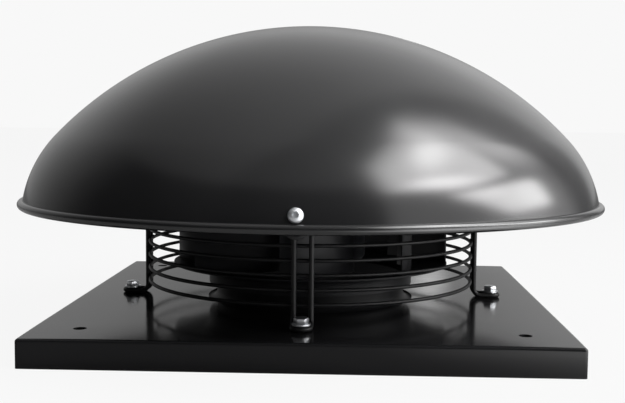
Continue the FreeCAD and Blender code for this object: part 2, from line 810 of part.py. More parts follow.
def shaft():
    """Stepped shaft, grooved near its top for the circlip."""
    radius = s["shaft_radius"]
    collar = tube_end - s["seat_gap"]
    root = radius - s["circlip_sheet"] / 2
    groove = circlip_level + s["circlip_sheet"] + s["fit_gap"]
    chamfer = s["thread_end"] / 4
    turned_part("shaft", [
        (0, can_base), (radius, can_base), (radius, boss_top), (s["shaft_shoulder"], boss_top),
        (s["shaft_shoulder"], collar), (radius, collar), (radius, circlip_level - s["fit_gap"]),
        (root, circlip_level - s["fit_gap"]), (root, groove), (radius, groove),
        (radius, shaft_top - chamfer), (radius - chamfer, shaft_top), (0, shaft_top),
    ])
    turned_part("circlip", [
        (root + s["fit_gap"], circlip_level), (s["circlip_radius"], circlip_level),
        (s["circlip_radius"], circlip_level + s["circlip_sheet"]),
        (root + s["fit_gap"], circlip_level + s["circlip_sheet"]),
    ])


def rotor_can():
    """Pressed cup with a boss for the shaft and a flange that carries the impeller."""
    radius, wall = s["can_radius"], s["can_wall"]
    floor = can_base + s["can_floor"]
    bore = s["shaft_radius"] + s["fit_gap"]
    lip = back_plate_under - wall
    body = turned_part("rotor_can", [
        (bore, can_base), (radius - wall, can_base, wall, "left"), (radius, can_base + wall),
        (radius, lip), (s["can_flange"], lip), (s["can_flange"], back_plate_under),
        (can_inner, back_plate_under), (can_inner, floor), (s["can_boss_radius"], floor),
        (s["can_boss_radius"], boss_top), (bore, boss_top),
    ])
    hole = sketch_on(body, "can_hole", "XY_Plane", (0, 0, lip))
    draw_circle(hole, s["impeller_screw_circle"], 0, s["screw_radius"] + s["fit_gap"])
    drilled = pocket(body, hole)
    repeat_round(body, [drilled], IMPELLER_SCREWS)
    cage_bottom = stack_bottom - s["thread_end"]
    cage_top = stack_top + s["thread_end"]
    turned_part("rotor_cage", [
        (cage_inner, cage_bottom), (can_inner - s["fit_gap"], cage_bottom),
        (can_inner - s["fit_gap"], cage_top), (cage_inner, cage_top),
    ])
    return body


def back_plate():
    """Flat impeller disc, screwed on the can's flange."""
    bore = can_inner + s["air_gap"]
    body = turned_part("impeller_back_plate", [
        (bore, back_plate_under), (s["impeller_radius"], back_plate_under),
        (s["impeller_radius"], back_plate_top), (bore, back_plate_top),
    ])
    hole = sketch_on(body, "back_plate_hole", "XY_Plane", (0, 0, back_plate_under))
    draw_circle(hole, s["impeller_screw_circle"], 0, s["screw_radius"] + s["running_gap"])
    drilled = pocket(body, hole)
    repeat_round(body, [drilled], IMPELLER_SCREWS)
    head, stem = s["screw_head_radius"], s["screw_radius"]
    depth = s["back_plate_sheet"] + s["can_wall"]
    ring_of_turned("impeller_screws", (s["impeller_screw_circle"], back_plate_top), 90, [
        (0, stem), (0, head), (s["screw_head"] / 3, head), (s["screw_head"], head * 0.6),
        (s["screw_head"], 0), (-depth, 0), (-depth, stem),
    ], IMPELLER_SCREWS)
    return body


def front_shroud():
    """Ring that closes the blades below, curved down into the neck round the nozzle."""
    gauge = s["shroud_sheet"]
    neck = s["nozzle_throat"] + s["neck_gap"] + gauge
    curve = s["shroud_curve"]
    lower = deck + s["impeller_bottom"]
    upper = lower + gauge
    bottom = lower - s["neck_length"]
    turned_part("impeller_front_shroud", [
        (neck - gauge, bottom), (neck, bottom), (neck, lower - curve, curve, "right"),
        (neck + curve, lower), (s["impeller_radius"], lower), (s["impeller_radius"], upper),
        (neck + curve, upper, curve + gauge, "left"), (neck - gauge, lower - curve),
    ])


def impeller_blade(count):
    """A backward-curved sheet blade between the front shroud and the back plate."""
    body = new_body(f"impeller_blade_{count + 1}")
    inner = s["blade_inner"]
    outer = s["impeller_radius"] - s["blade_edge"]
    tip = (outer * cosine(s["blade_angle"]), -(outer * sine(s["blade_angle"])))
    chord_x, chord_y = tip[0] - inner, tip[1]
    chord = square_root(chord_x * chord_x + chord_y * chord_y)
    bow = square_root(s["blade_curve"] * s["blade_curve"] - chord * chord / 4)
    centre_x = (tip[0] + inner) / 2 + chord_y / chord * bow
    centre_y = tip[1] / 2 - chord_x / chord * bow
    ratio = (s["blade_curve"] - s["blade_sheet"]) / s["blade_curve"]
    back_tip = (centre_x + (tip[0] - centre_x) * ratio, centre_y + (tip[1] - centre_y) * ratio)
    back_root = (centre_x + (inner - centre_x) * ratio, centre_y - centre_y * ratio)
    level = deck + s["impeller_bottom"] + s["shroud_sheet"]
    section = sketch_on(body, f"blade_{count + 1}_section", "XY_Plane", (0, 0, level))
    draw(section, [
        (inner, 0, s["blade_curve"], "right"), tip,
        (back_tip[0], back_tip[1], s["blade_curve"] - s["blade_sheet"], "left"), back_root,
    ])
    pad(body, section, back_plate_under - level)
    turn = FreeCAD.Rotation(Z_AXIS, BLADE_START + count * FULL_TURN / BLADE_COUNT)
    body.Placement = FreeCAD.Placement(FreeCAD.Vector(), turn)
    return body


def motor_screws():
    """Screws that hold the motor flange up against the motor plate."""
    head, stem = s["screw_head_radius"], s["screw_radius"]
    depth = s["motor_plate_sheet"] + s["flange_disc"]
    ring_of_turned("motor_screws", (s["flange_screw_circle"], motor_plate_top), 90, [
        (0, stem), (0, head), (s["screw_head"] / 3, head), (s["screw_head"], head * 0.6),
        (s["screw_head"], 0), (-depth, 0), (-depth, stem),
    ])


def lead_grommet():
    """Rubber ring in the middle of the motor plate, where the motor leads pass."""
    gauge = s["motor_plate_sheet"] + s["seat_gap"]
    lip = s["thread_end"] / 2
    hole = s["lead_hole"] - s["seat_gap"]
    bore = hole - s["thread_end"]
    upper = motor_plate_top + s["seat_gap"]
    lower = motor_plate_under - s["seat_gap"]
    turned_part("lead_grommet", [
        (bore, lower), (hole, lower), (hole, upper), (hole + s["thread_end"], upper),
        (hole + s["thread_end"], upper + lip), (bore, lower + gauge + s["seat_gap"] + lip),
    ])


def terminal_box():
    """Open moulded box with corner posts, its lid, the lid screws and the cable gland."""
    body = new_body("terminal_box")
    half_x, half_y = s["box_length"] / 2, s["box_width"] / 2
    wall = s["box_wall"]
    middle = s["box_offset"]
    floor = motor_plate_top
    rim = floor + s["box_height"]
    outline = sketch_on(body, "box_outline", "XY_Plane", (0, middle, floor))
    draw_box(outline, -half_x, -half_y, half_x, half_y)
    block = pad(body, outline, s["box_height"])
    hollow = sketch_on(body, "box_hollow", "XY_Plane", (0, middle, rim))
    draw_box(hollow, wall - half_x, wall - half_y, half_x - wall, half_y - wall)
    pocket(body, hollow, s["box_height"] - wall)
    post_x, post_y = half_x - s["post_radius"], half_y - s["post_radius"]
    corners = ((post_x, post_y), (-post_x, post_y), (-post_x, -post_y), (post_x, -post_y))
    posts = sketch_on(body, "box_posts", "XY_Plane", (0, middle, floor))
    for x, y in corners:
        draw_circle(posts, x, y, s["post_radius"])
    pad(body, posts, s["box_height"])
    pilots = sketch_on(body, "box_pilots", "XY_Plane", (0, middle, rim))
    for x, y in corners:
        draw_circle(pilots, x, y, s["screw_radius"] / 2 + s["fit_gap"])
    pocket(body, pilots, s["box_height"] / 2)
    entry = sketch_on(body, "box_entry", "YZ_Plane", (middle, floor + s["box_height"] / 2, half_x - wall * 2))
    draw_circle(entry, 0, 0, s["gland_radius"] * 0.7)
    pocket(body, entry, wall * 3, reverse=True)
    lid(middle, rim, corners)
    cable_gland(middle, floor + s["box_height"] / 2, half_x)
    return body


def lid(middle, rim, corners):
    """Lid with a skirt that drops over nothing and stands flush on the box's rim."""
    body = new_body("terminal_lid")
    half_x, half_y = s["box_length"] / 2, s["box_width"] / 2
    wall = s["box_wall"]
    outline = sketch_on(body, "lid_outline", "XY_Plane", (0, middle, rim))
    draw_box(outline, -half_x, -half_y, half_x, half_y)
    block = pad(body, outline, s["lid_height"])
    doc.recompute()
    top_edges = []
    for index, edge in enumerate(block.Shape.Edges, start=1):
        if edge.BoundBox.ZMin > number(rim) + 1:
            top_edges.append(f"Edge{index}")
    rounding = body.newObject("PartDesign::Fillet", "lid_rounding")
    rounding.Base = (block, top_edges)
    rounding.Radius = number(wall)
    bind(rounding, "Radius", wall)
    body.Tip = rounding
    holes = sketch_on(body, "lid_holes", "XY_Plane", (0, middle, rim))
    for x, y in corners:
        draw_circle(holes, x, y, s["screw_radius"] / 2 + s["running_gap"])
    pocket(body, holes)
    screws = new_body("lid_screws")
    stems = sketch_on(screws, "lid_screw_stems", "XY_Plane", (0, middle, rim + s["lid_height"]))
    heads = sketch_on(screws, "lid_screw_heads", "XY_Plane", (0, middle, rim + s["lid_height"]))
    for x, y in corners:
        draw_circle(stems, x, y, s["screw_radius"] / 2)
        draw_circle(heads, x, y, s["screw_head_radius"] * 0.8)
    pad(screws, heads, s["screw_head"] * 0.7)
    pad(screws, stems, s["lid_height"] + s["box_height"] / 3, reverse=True)


def cable_gland(middle, level, face):
    """Gland for the supply cable: locking flange, body hexagon and clamping nut."""
    body = new_body("cable_gland")
    radius = s["gland_radius"]
    length = s["gland_length"]
    throat = radius * 0.7 - s["seat_gap"]
    bore = radius * 0.45
    section = sketch_on(body, "gland_section", "XY_Plane", (face, middle, level))
    draw(section, [
        (-s["box_wall"], bore), (-s["box_wall"], throat), (0, throat), (0, radius * 1.2),
        (length * 0.2, radius * 1.2), (length * 0.2, radius), (length * 0.3, radius),
        (length * 0.3, radius * 1.1), (length * 0.75, radius * 1.1, radius, "right"),
        (length, radius * 0.6), (length, bore),
    ])
    turn_profile(body, section, "H_Axis")


def capacitor():
    """Run capacitor on its side, strapped to the motor plate."""
    radius = s["capacitor_radius"]
    half = s["capacitor_length"] / 2
    level = motor_plate_top + radius + s["seat_gap"]
    crimp = radius * 0.08
    body = new_body("run_capacitor")
    section = sketch_on(body, "capacitor_section", "XY_Plane", (0, -s["capacitor_offset"], level))
    stud = s["bolt_radius"]
    draw(section, [
        (-half, 0), (-half, radius - crimp), (crimp - half, radius), (half - crimp * 3, radius),
        (half - crimp * 2, radius - crimp), (half - crimp, radius), (half, radius),
        (half, stud), (half + stud * 2, stud), (half + stud * 2, 0),
    ])
    turn_profile(body, section, "H_Axis")
    strap = new_body("capacitor_strap")
    inner = radius + s["skin_gap"]
    outer = inner + s["strap_sheet"]
    foot = outer + s["strap_foot"]
    base = motor_plate_top - level
    web = base + s["strap_sheet"]
    profile = sketch_on(strap, "strap_profile", "YZ_Plane", (-s["capacitor_offset"], level, 0))
    draw(profile, [
        (foot, base), (foot, web), (outer, web), (outer, 0, outer, "left"), (0, outer, outer, "left"),
        (-outer, 0), (-outer, web), (-foot, web), (-foot, base), (-inner, base),
        (-inner, 0, inner, "right"), (0, inner, inner, "right"), (inner, 0), (inner, base),
    ])
    pad(strap, profile, s["strap_width"], midplane=True)
    holes = sketch_on(strap, "strap_holes", "XY_Plane", (0, -s["capacitor_offset"], motor_plate_top))
    spots = (outer + s["strap_foot"] / 2, -(outer + s["strap_foot"] / 2))
    for spot in spots:
        draw_circle(holes, 0, spot, s["screw_radius"] + s["running_gap"])
    pocket(strap, holes, s["strap_sheet"] * 2, reverse=True)
    screws = new_body("strap_screws")
    top = motor_plate_top + s["strap_sheet"]
    stems = sketch_on(screws, "strap_screw_stems", "XY_Plane", (0, -s["capacitor_offset"], top))
    heads = sketch_on(screws, "strap_screw_heads", "XY_Plane", (0, -s["capacitor_offset"], top))
    for spot in spots:
        draw_circle(stems, 0, spot, s["screw_radius"])
        draw_circle(heads, 0, spot, s["screw_head_radius"])
    pad(screws, heads, s["screw_head"])
    pad(screws, stems, s["strap_sheet"], reverse=True)


def build():
    base_plate()
    inlet_nozzle()
    for name, azimuth in STAYS.items():
        guard_stay(name, azimuth)
    for count in range(RING_COUNT):
        guard_ring(count)
    foot_hardware()
    cowl()
    cowl_screws()
    cowl_hardware()
    motor_plate()
    arm_clamps()
    motor_flange()
    bearing("bearing_lower", tube_end)
    bearing("bearing_upper", flange_under - s["bearing_width"])
    stator_core()
    stator_windings()
    shaft()
    rotor_can()
    back_plate()
    front_shroud()
    for count in range(BLADE_COUNT):
        impeller_blade(count)
    motor_screws()
    lead_grommet()
    terminal_box()
    capacitor()
    doc.recompute()


def check_and_export():
    """Stop on any failed object or bad shape, then write one file for each piece."""
    faults = [item.Label for item in doc.Objects if {"Invalid", "Error"} & set(item.State)]
    pieces = [item for item in doc.Objects if item.TypeId in ("PartDesign::Body", "Part::Torus")]
    for piece in pieces:
        if piece.Shape.isNull() or not piece.Shape.isValid():
            faults.append(piece.Label)
    if faults:
        raise RuntimeError("failed: " + ", ".join(sorted(set(faults))))
    os.makedirs("parts", exist_ok=True)
    for piece in pieces:
        piece.Shape.exportStep(f"parts/{piece.Label}.step")
        solids = len(piece.Shape.Solids)
        print(f"{piece.Label}: {solids} solids, {piece.Shape.Volume:.0f} mm3")


build()
check_and_export()
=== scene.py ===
import math

import bmesh
import bpy
from mathutils import Matrix, Vector


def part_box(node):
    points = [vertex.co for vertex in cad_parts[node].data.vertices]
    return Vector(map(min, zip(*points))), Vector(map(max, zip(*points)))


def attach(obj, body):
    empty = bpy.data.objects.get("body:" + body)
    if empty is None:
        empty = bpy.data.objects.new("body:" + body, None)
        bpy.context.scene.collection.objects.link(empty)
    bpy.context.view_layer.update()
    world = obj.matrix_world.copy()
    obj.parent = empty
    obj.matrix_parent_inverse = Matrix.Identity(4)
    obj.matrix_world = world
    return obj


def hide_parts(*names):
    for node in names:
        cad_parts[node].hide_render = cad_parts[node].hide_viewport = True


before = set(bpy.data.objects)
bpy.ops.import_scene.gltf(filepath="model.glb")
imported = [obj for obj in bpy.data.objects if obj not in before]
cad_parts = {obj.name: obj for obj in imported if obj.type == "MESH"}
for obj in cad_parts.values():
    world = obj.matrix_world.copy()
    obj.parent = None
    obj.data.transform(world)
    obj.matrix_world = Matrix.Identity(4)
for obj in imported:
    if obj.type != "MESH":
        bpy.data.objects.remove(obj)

bl_info = {
    "name": "Roof exhaust fan",
    "version": (1, 0, 0),
    "blender": (4, 5, 0),
    "location": "3D View > Sidebar > Roof fan",
    "description": "Finished pieces, paints and studio for a roof fan with a spun cowl",
    "category": "Object",
}

MM = 0.001
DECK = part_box("base_plate")[1].z
# points of a mesh that lie this near are one point, and what lies on a piece clears it by the gap
FIT, GAP = 0.01 * MM, 0.1 * MM
# M6 hardware: the thread's radius and pitch, its hole, across flats, and three heights
THREAD, PITCH, HOLE = 3 * MM, 1 * MM, 3.3 * MM
FLATS, HEAD, NUT, WASHER = 10 * MM, 4 * MM, 5 * MM, 1.6 * MM
# the foot of the cowl's wall: its slope in degrees, how far in and how high from the rim
FOOT_SLOPE = 79.6
FOOT_INSET, FOOT_RISE = 4.57 * MM, 7.31 * MM
# the cowl's screws: their height over the deck, and how deep under its skin the eyes lie
SCREW_RISE, EYE_DEPTH = 92.8 * MM, 4.85 * MM
# in millimetres from the middle: lines across the deck, and how far what is beyond goes down
DECK_LINES = (140, 160, 180, 197.4)
DECK_BOW = ((159, 0.06), (179, 0.13), (197, 0.16), (199, 0.024))
# holes of the plate: the inlet, and the curb holes with their distance from the middle each way
INLET, CURB_HOLE, CURB_REACH = 90.1 * MM, 5 * MM, 163 * MM
# the impeller's blades: their number, the place of the first root and the lean, in degrees
BLADES, FIRST_ROOT, BLADE_LEAN = 8, 29, 34
# the photograph's width and the lens's focal length, both in its pixels, and the film's width
PHOTO_WIDTH, FOCAL, FILM = 625, 1008.6, 36


def linear(code):
    """An sRGB hex colour as linear red, green and blue."""
    parts = [int(code[i:i + 2], 16) / 255 for i in (1, 3, 5)]
    return tuple(v / 12.92 if v <= 0.04045 else ((v + 0.055) / 1.055) ** 2.4 for v in parts)


# sizes and colours that a user would change

class FanSizes(bpy.types.PropertyGroup):
    cowl_sheet: bpy.props.FloatProperty(
        name="Cowl sheet", description="Gauge of the spun cowl", default=1.2 * MM, unit="LENGTH")
    crown_radius: bpy.props.FloatProperty(
        name="Crown radius", description="Outer radius of the cowl's crown",
        default=300.16 * MM, unit="LENGTH")
    shoulder_radius: bpy.props.FloatProperty(
        name="Shoulder radius", description="Outer radius of the cowl's shoulder",
        default=105 * MM, unit="LENGTH")
    bead_radius: bpy.props.FloatProperty(
        name="Bead radius", description="Radius of the rolled rim", default=3.6 * MM, unit="LENGTH")
    plate_sheet: bpy.props.FloatProperty(
        name="Plate sheet", description="Gauge of the base plate", default=1.5 * MM, unit="LENGTH")
    plate_fold: bpy.props.FloatProperty(
        name="Plate fold", description="Outer radius of the plate's folds",
        default=2.2 * MM, unit="LENGTH")
    wire_radius: bpy.props.FloatProperty(
        name="Stay wire", description="Radius of the wire in the stays", default=2 * MM, unit="LENGTH")
    ring_wire: bpy.props.FloatProperty(
        name="Ring wire", description="Radius of the wire in the guard rings",
        default=1.5 * MM, unit="LENGTH")


class FanColours(bpy.types.PropertyGroup):
    coat: bpy.props.FloatVectorProperty(
        name="Powder coat", description="Colour of the cowl, the plate and the guard",
        subtype="COLOR", default=linear("#141415"), min=0, max=1)
    zinc: bpy.props.FloatVectorProperty(
        name="Zinc", description="Colour of the plated hardware",
        subtype="COLOR", default=linear("#cfd1d4"), min=0, max=1)
    impeller: bpy.props.FloatVectorProperty(
        name="Impeller paint", description="Colour of the painted impeller",
        subtype="COLOR", default=linear("#19191b"), min=0, max=1)
    backdrop: bpy.props.FloatVectorProperty(
        name="Backdrop", description="Colour of the floor and the background",
        subtype="COLOR", default=linear("#f8f8f8"), min=0, max=1)


# working in object and edit mode

def clear_selection():
    if bpy.context.object and bpy.context.object.mode == "EDIT":
        bpy.ops.object.mode_set(mode="OBJECT")
    bpy.ops.object.select_all(action="DESELECT")


def make_active(piece):
    clear_selection()
    piece.select_set(True)
    bpy.context.view_layer.objects.active = piece


def edit(piece):
    make_active(piece)
    bpy.ops.object.mode_set(mode="EDIT")


def pick(piece, kind, test):
    """Select the vertices, edges or faces of the open mesh whose centre passes the test."""
    bpy.ops.mesh.select_mode(type=kind)
    bpy.ops.mesh.select_all(action="DESELECT")
    mesh = bmesh.from_edit_mesh(piece.data)
    for item in {"VERT": mesh.verts, "EDGE": mesh.edges, "FACE": mesh.faces}[kind]:
        corners = [item] if kind == "VERT" else item.verts
        centre = sum((corner.co for corner in corners), Vector()) / len(corners)
        if test(centre, item):
            item.select_set(True)
    bmesh.update_edit_mesh(piece.data)


def turn_outwards():
    """Turn the faces of the open mesh outwards and close it."""
    bpy.ops.mesh.select_all(action="SELECT")
    bpy.ops.mesh.normals_make_consistent(inside=False)
    bpy.ops.object.mode_set(mode="OBJECT")


def apply_modifier(piece, kind, **settings):
    make_active(piece)
    modifier = piece.modifiers.new(kind.title(), kind)
    for name, value in settings.items():
        setattr(modifier, name, value)
    bpy.ops.object.modifier_apply(modifier=modifier.name)


def cut(piece, tool, operation="DIFFERENCE"):
    """Cut a piece with another one, which is then thrown away."""
    apply_modifier(piece, "BOOLEAN", operation=operation, object=tool, solver="EXACT")
    bpy.data.objects.remove(tool)


def settle():
    """Put the active piece's place, turn and scale into its mesh."""
    bpy.ops.object.transform_apply(location=True, rotation=True, scale=True)


def place(piece, position=(0, 0, 0), turn=(0, 0, 0)):
    """Turn a piece about the origin, move it, and put that into its mesh."""
    make_active(piece)
    settle()
    piece.location = position
    piece.rotation_euler = turn
    settle()


def copies(piece, count):
    """A piece and its copies, each a mesh of its own, at equal steps round the fan's axis."""
    pieces = [piece]
    for index in range(1, count):
        twin = piece.copy()
        twin.data = piece.data.copy()
        bpy.context.collection.objects.link(twin)
        twin.data.transform(Matrix.Rotation(math.tau * index / count, 4, "Z"))
        pieces.append(twin)
    return pieces


def join(pieces):
    make_active(pieces[0])
    for piece in pieces[1:]:
        piece.select_set(True)
    bpy.ops.object.join()
    return pieces[0]


def finished(piece, name, finish, nodes=(), smooth=35, body="housing"):
    """Name and paint a piece, smooth its curves, and hand it to its body."""
    make_active(piece)
    settle()
    piece.name = name
    piece.data.name = name
    bpy.ops.object.shade_smooth_by_angle(angle=math.radians(smooth))
    piece.data.materials.clear()
    piece.data.materials.append(paint(finish))
    if nodes:
        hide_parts(*nodes)
    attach(piece, body)


def finished_four(piece, name, finish, node, smooth=35):
    """Finish a piece and three copies, one on each side of the fan, as one set."""
    finished(join(copies(piece, 4)), name, finish, [node], smooth)


# basic shapes

def cylinder(radius, depth, position=(0, 0, 0), sides=32):
    clear_selection()
    bpy.ops.mesh.primitive_cylinder_add(vertices=sides, radius=radius, depth=depth,
                                        location=position)
    return bpy.context.object


def block(size, position=(0, 0, 0)):
    clear_selection()
    bpy.ops.mesh.primitive_cube_add(size=1, location=position)
    piece = bpy.context.object
    piece.scale = size
    settle()
    return piece


def on_circle(radius, angle):
    """The x and y of a point at an angle round the fan's axis."""
    return radius * math.cos(angle), radius * math.sin(angle)


def drill(piece, x, y, level, radius, sides=28):
    """Drill upright through a piece."""
    cut(piece, cylinder(radius, 40 * MM, (x, y, level), sides))


# drawing by pulling a point or a ring of wire along

def start_point(x, z):
    """A mesh of one vertex on the section plane, open for pulling."""
    clear_selection()
    bpy.ops.mesh.primitive_plane_add(size=MM, location=(x, 0, z))
    piece = bpy.context.object
    bpy.ops.object.mode_set(mode="EDIT")
    bpy.ops.mesh.select_mode(type="VERT")
    bpy.ops.mesh.select_all(action="SELECT")
    bpy.ops.mesh.merge(type="CENTER")
    return piece


def start_wire(position, radius, turn):
    """The round cross-section of a wire, open for pulling."""
    clear_selection()
    bpy.ops.mesh.primitive_circle_add(vertices=14, radius=radius, location=position, rotation=turn)
    piece = bpy.context.object
    bpy.ops.object.mode_set(mode="EDIT")
    bpy.ops.mesh.select_mode(type="VERT")
    bpy.ops.mesh.select_all(action="SELECT")
    return piece


def pull(*step):
    bpy.ops.mesh.extrude_region_move(TRANSFORM_OT_translate={"value": step})


def bend(centre, degrees, axis=(0, 1, 0), steps=8):
    """Carry the end round a centre, right-handed about the axis."""
    bpy.ops.mesh.spin(steps=steps, angle=-math.radians(degrees), center=centre, axis=axis)


def outline(points):
    """Pull a vertex through (x, z) points. A point (x, z, degrees, steps) is an arc's centre."""
    piece = start_point(*points[0])
    here = Vector((points[0][0], 0, points[0][1]))
    for point in points[1:]:
        if len(point) == 2:
            target = Vector((point[0], 0, point[1]))
            pull(*(target - here))
            here = target
        else:
            centre = Vector((point[0], 0, point[1]))
            bend(centre, point[2], steps=point[3])
            here = centre + Matrix.Rotation(math.radians(point[2]), 3, "Y") @ (here - centre)
    return piece


def weld():
    """Make one point of those that lie together, and leave the whole mesh selected."""
    bpy.ops.mesh.select_all(action="SELECT")
    bpy.ops.mesh.remove_doubles(threshold=FIT)
    bpy.ops.mesh.select_all(action="SELECT")


def spun(points, steps=96):
    """A piece of revolution about the fan's axis from its outline, which is closed here."""
    piece = outline(points + points[:1])
    weld()
    bpy.ops.mesh.spin(steps=steps, angle=math.tau, center=(0, 0, 0), axis=(0, 0, 1))
    weld()
    bpy.ops.mesh.delete_loose()
    turn_outwards()
    return piece


# M6 hardware, each piece standing on the fan's axis

def hexagon(bottom, height):
    """A hexagonal block with its edges taken off by a cone at the top."""
    reach, face = FLATS / math.sqrt(3), FLATS * 0.47
    top = bottom + height
    piece = cylinder(reach, height, (0, 0, bottom + height / 2), 6)
    cap = spun([(0, bottom - MM), (reach + MM, bottom - MM),
                (reach + MM, top - (reach + MM - face) * 0.5), (face, top), (0, top)], 48)
    cut(piece, cap, "INTERSECT")
    apply_modifier(piece, "BEVEL", width=0.12 * MM, segments=2, limit_method="ANGLE")
    return piece


def threaded(bottom, top):
    """A shank whose outside is cut into ridges like a thread, with a chamfered end."""
    points = [(0, bottom), (THREAD * 0.75, bottom)]
    level = bottom + PITCH / 2
    while level + PITCH < top:
        points += [(THREAD * 0.86, level), (THREAD, level + PITCH / 2)]
        level += PITCH
    points += [(THREAD, level), (THREAD, top), (0, top)]
    return spun(points, 32)


def hex_bolt(bottom, top):
    """A bolt whose shank reaches into its head by half a millimetre."""
    bolt = hexagon(top - HEAD, HEAD)
    cut(bolt, threaded(bottom, top - HEAD + 0.5 * MM), "UNION")
    return bolt


def hex_nut():
    nut = hexagon(0, NUT)
    cut(nut, cylinder(THREAD + 0.02 * MM, NUT * 2, (0, 0, NUT / 2), 36))
    return nut


def washer_ring(outer):
    edge = WASHER * 0.15
    return spun([(HOLE, 0), (outer - edge, 0), (outer, edge), (outer, WASHER - edge),
                 (outer - edge, WASHER), (HOLE, WASHER)], 56)


# paints and metals: a pattern's scale is in cells to the millimetre

def feed(tree, node, *values, **named):
    """Feed a node's open inputs in their order, or by name.

    Each takes a number, a colour, a socket, or a node, which gives its first open output.
    """
    pairs = list(zip([socket for socket in node.inputs if socket.enabled], values))
    pairs += [(node.inputs[name.replace("_", " ")], value) for name, value in named.items()]
    for socket, value in pairs:
        if isinstance(value, bpy.types.Node):
            value = next(output for output in value.outputs if output.enabled)
        if isinstance(value, bpy.types.NodeSocket):
            tree.links.new(value, socket)
        else:
            socket.default_value = value


def add_node(tree, kind, *values, **settings):
    """Add a node, set its properties and feed its inputs."""
    node = tree.nodes.new("ShaderNode" + kind)
    for name in [name for name in settings if name in node.bl_rna.properties]:
        setattr(node, name, settings.pop(name))
    feed(tree, node, *values, **settings)
    return node


def rgba(colour, share=1.0):
    return (*(Vector(tuple(colour)[:3]) * share), 1.0)


def new_material(name):
    """A material with its surface shader and the object's own coordinates."""
    material = bpy.data.materials.new(name)
    material.use_nodes = True
    tree = material.node_tree
    shader = next(node for node in tree.nodes if node.type == "BSDF_PRINCIPLED")
    return material, tree, shader, add_node(tree, "TexCoord").outputs["Object"]


def emptied(owner):
    """The emptied node tree of a new material or world."""
    owner.use_nodes = True
    owner.node_tree.nodes.clear()
    return owner.node_tree


def powder_coat(name, colour, roughness, peel, level):
    """Black polyester powder baked on steel: a skin with faint orange peel and a soft gloss."""
    material, tree, shader, where = new_material(name)
    # orange peel about 1.5 mm across and slow waves in the sheet about 60 mm long
    skin = add_node(tree, "Bump", Height=add_node(tree, "TexNoise", where, 0.65 / MM, 2.0),
                    Strength=peel, Distance=0.05 * MM)
    sheet = add_node(tree, "Bump", Height=add_node(tree, "TexNoise", where, 0.016 / MM, 1.0),
                     Strength=0.25, Distance=0.6 * MM, Normal=skin)
    # handling leaves the gloss a little uneven, in patches about 45 mm wide
    dull = add_node(tree, "TexNoise", where, 0.022 / MM, 5.0)
    gloss = add_node(tree, "MapRange", dull, 0.0, 1.0, roughness - 0.04, roughness + 0.04)
    tint = add_node(tree, "Mix", dull, rgba(colour, 0.85), rgba(colour, 1.15), data_type="RGBA")
    feed(tree, shader, Metallic=0.0, IOR=1.5, Specular_IOR_Level=level, Normal=sheet,
         Roughness=gloss, Base_Color=tint)
    return material


def plated_steel(name, colour, roughness, grain):
    """Turned or pressed steel under bright plating: fine brushed lines and small dull clouds."""
    material, tree, shader, where = new_material(name)
    # lines about 1.1 mm long, flatter by the grain, and coarser than real ones so that they show
    stretch = add_node(tree, "Mapping", Vector=where, Scale=(1, 1, grain))
    lines = add_node(tree, "TexNoise", stretch, 0.9 / MM, 3.0)
    # clouds about 5.5 mm wide, from the plating bath
    clouds = add_node(tree, "TexNoise", where, 0.18 / MM, 4.0)
    brushed = add_node(tree, "Bump", Height=lines, Strength=0.12, Distance=0.03 * MM)
    gloss = add_node(tree, "MapRange", clouds, 0.0, 1.0, roughness * 0.7, roughness * 1.4)
    tint = add_node(tree, "Mix", clouds, rgba(colour, 0.8), rgba(colour), data_type="RGBA")
    feed(tree, shader, Metallic=1.0, Normal=brushed, Roughness=gloss, Base_Color=tint)
    return material


def moulded(name, colour, roughness, texture):
    """Moulded plastic or rubber with the fine texture of its tool."""
    material, tree, shader, where = new_material(name)
    # grit about 0.7 mm across, coarser than the tool's so that it shows, and clouds 25 mm wide
    grit = add_node(tree, "TexNoise", where, 1.4 / MM, 2.0)
    cloud = add_node(tree, "TexNoise", where, 0.04 / MM, 3.0)
    skin = add_node(tree, "Bump", Height=grit, Strength=texture, Distance=0.04 * MM)
    tint = add_node(tree, "Mix", cloud, rgba(colour, 0.88), rgba(colour, 1.08), data_type="RGBA")
    feed(tree, shader, Metallic=0.0, IOR=1.5, Roughness=roughness, Normal=skin, Base_Color=tint)
    return material


def cast_metal(name, colour, roughness):
    """Die-cast aluminium with its slightly pebbled skin."""
    material, tree, shader, where = new_material(name)
    # pebbles about 1.1 mm across and stains about 17 mm wide
    pebble = add_node(tree, "TexVoronoi", Vector=where, Scale=0.9 / MM)
    cloud = add_node(tree, "TexNoise", where, 0.06 / MM, 4.0)
    skin = add_node(tree, "Bump", Height=pebble, Strength=0.2, Distance=0.05 * MM)
    tint = add_node(tree, "Mix", cloud, rgba(colour, 0.8), rgba(colour, 1.15), data_type="RGBA")
    feed(tree, shader, Metallic=1.0, Roughness=roughness, Normal=skin, Base_Color=tint)
    return material


def striped(name, light, dark, pitch, roughness):
    """Stacked sheet edges or wound wire: narrow bands one above the other."""
    material, tree, shader, where = new_material(name)
    bands = add_node(tree, "TexWave", Vector=where, bands_direction="Z",
                     Scale=math.pi / 10 / pitch, Distortion=0.4).outputs["Fac"]
    ridges = add_node(tree, "Bump", Height=bands, Strength=0.4, Distance=0.1 * MM)
    tint = add_node(tree, "Mix", bands, rgba(linear(dark)), rgba(light), data_type="RGBA")
    feed(tree, shader, Metallic=0.9, Roughness=roughness, Normal=ridges, Base_Color=tint)
    return material


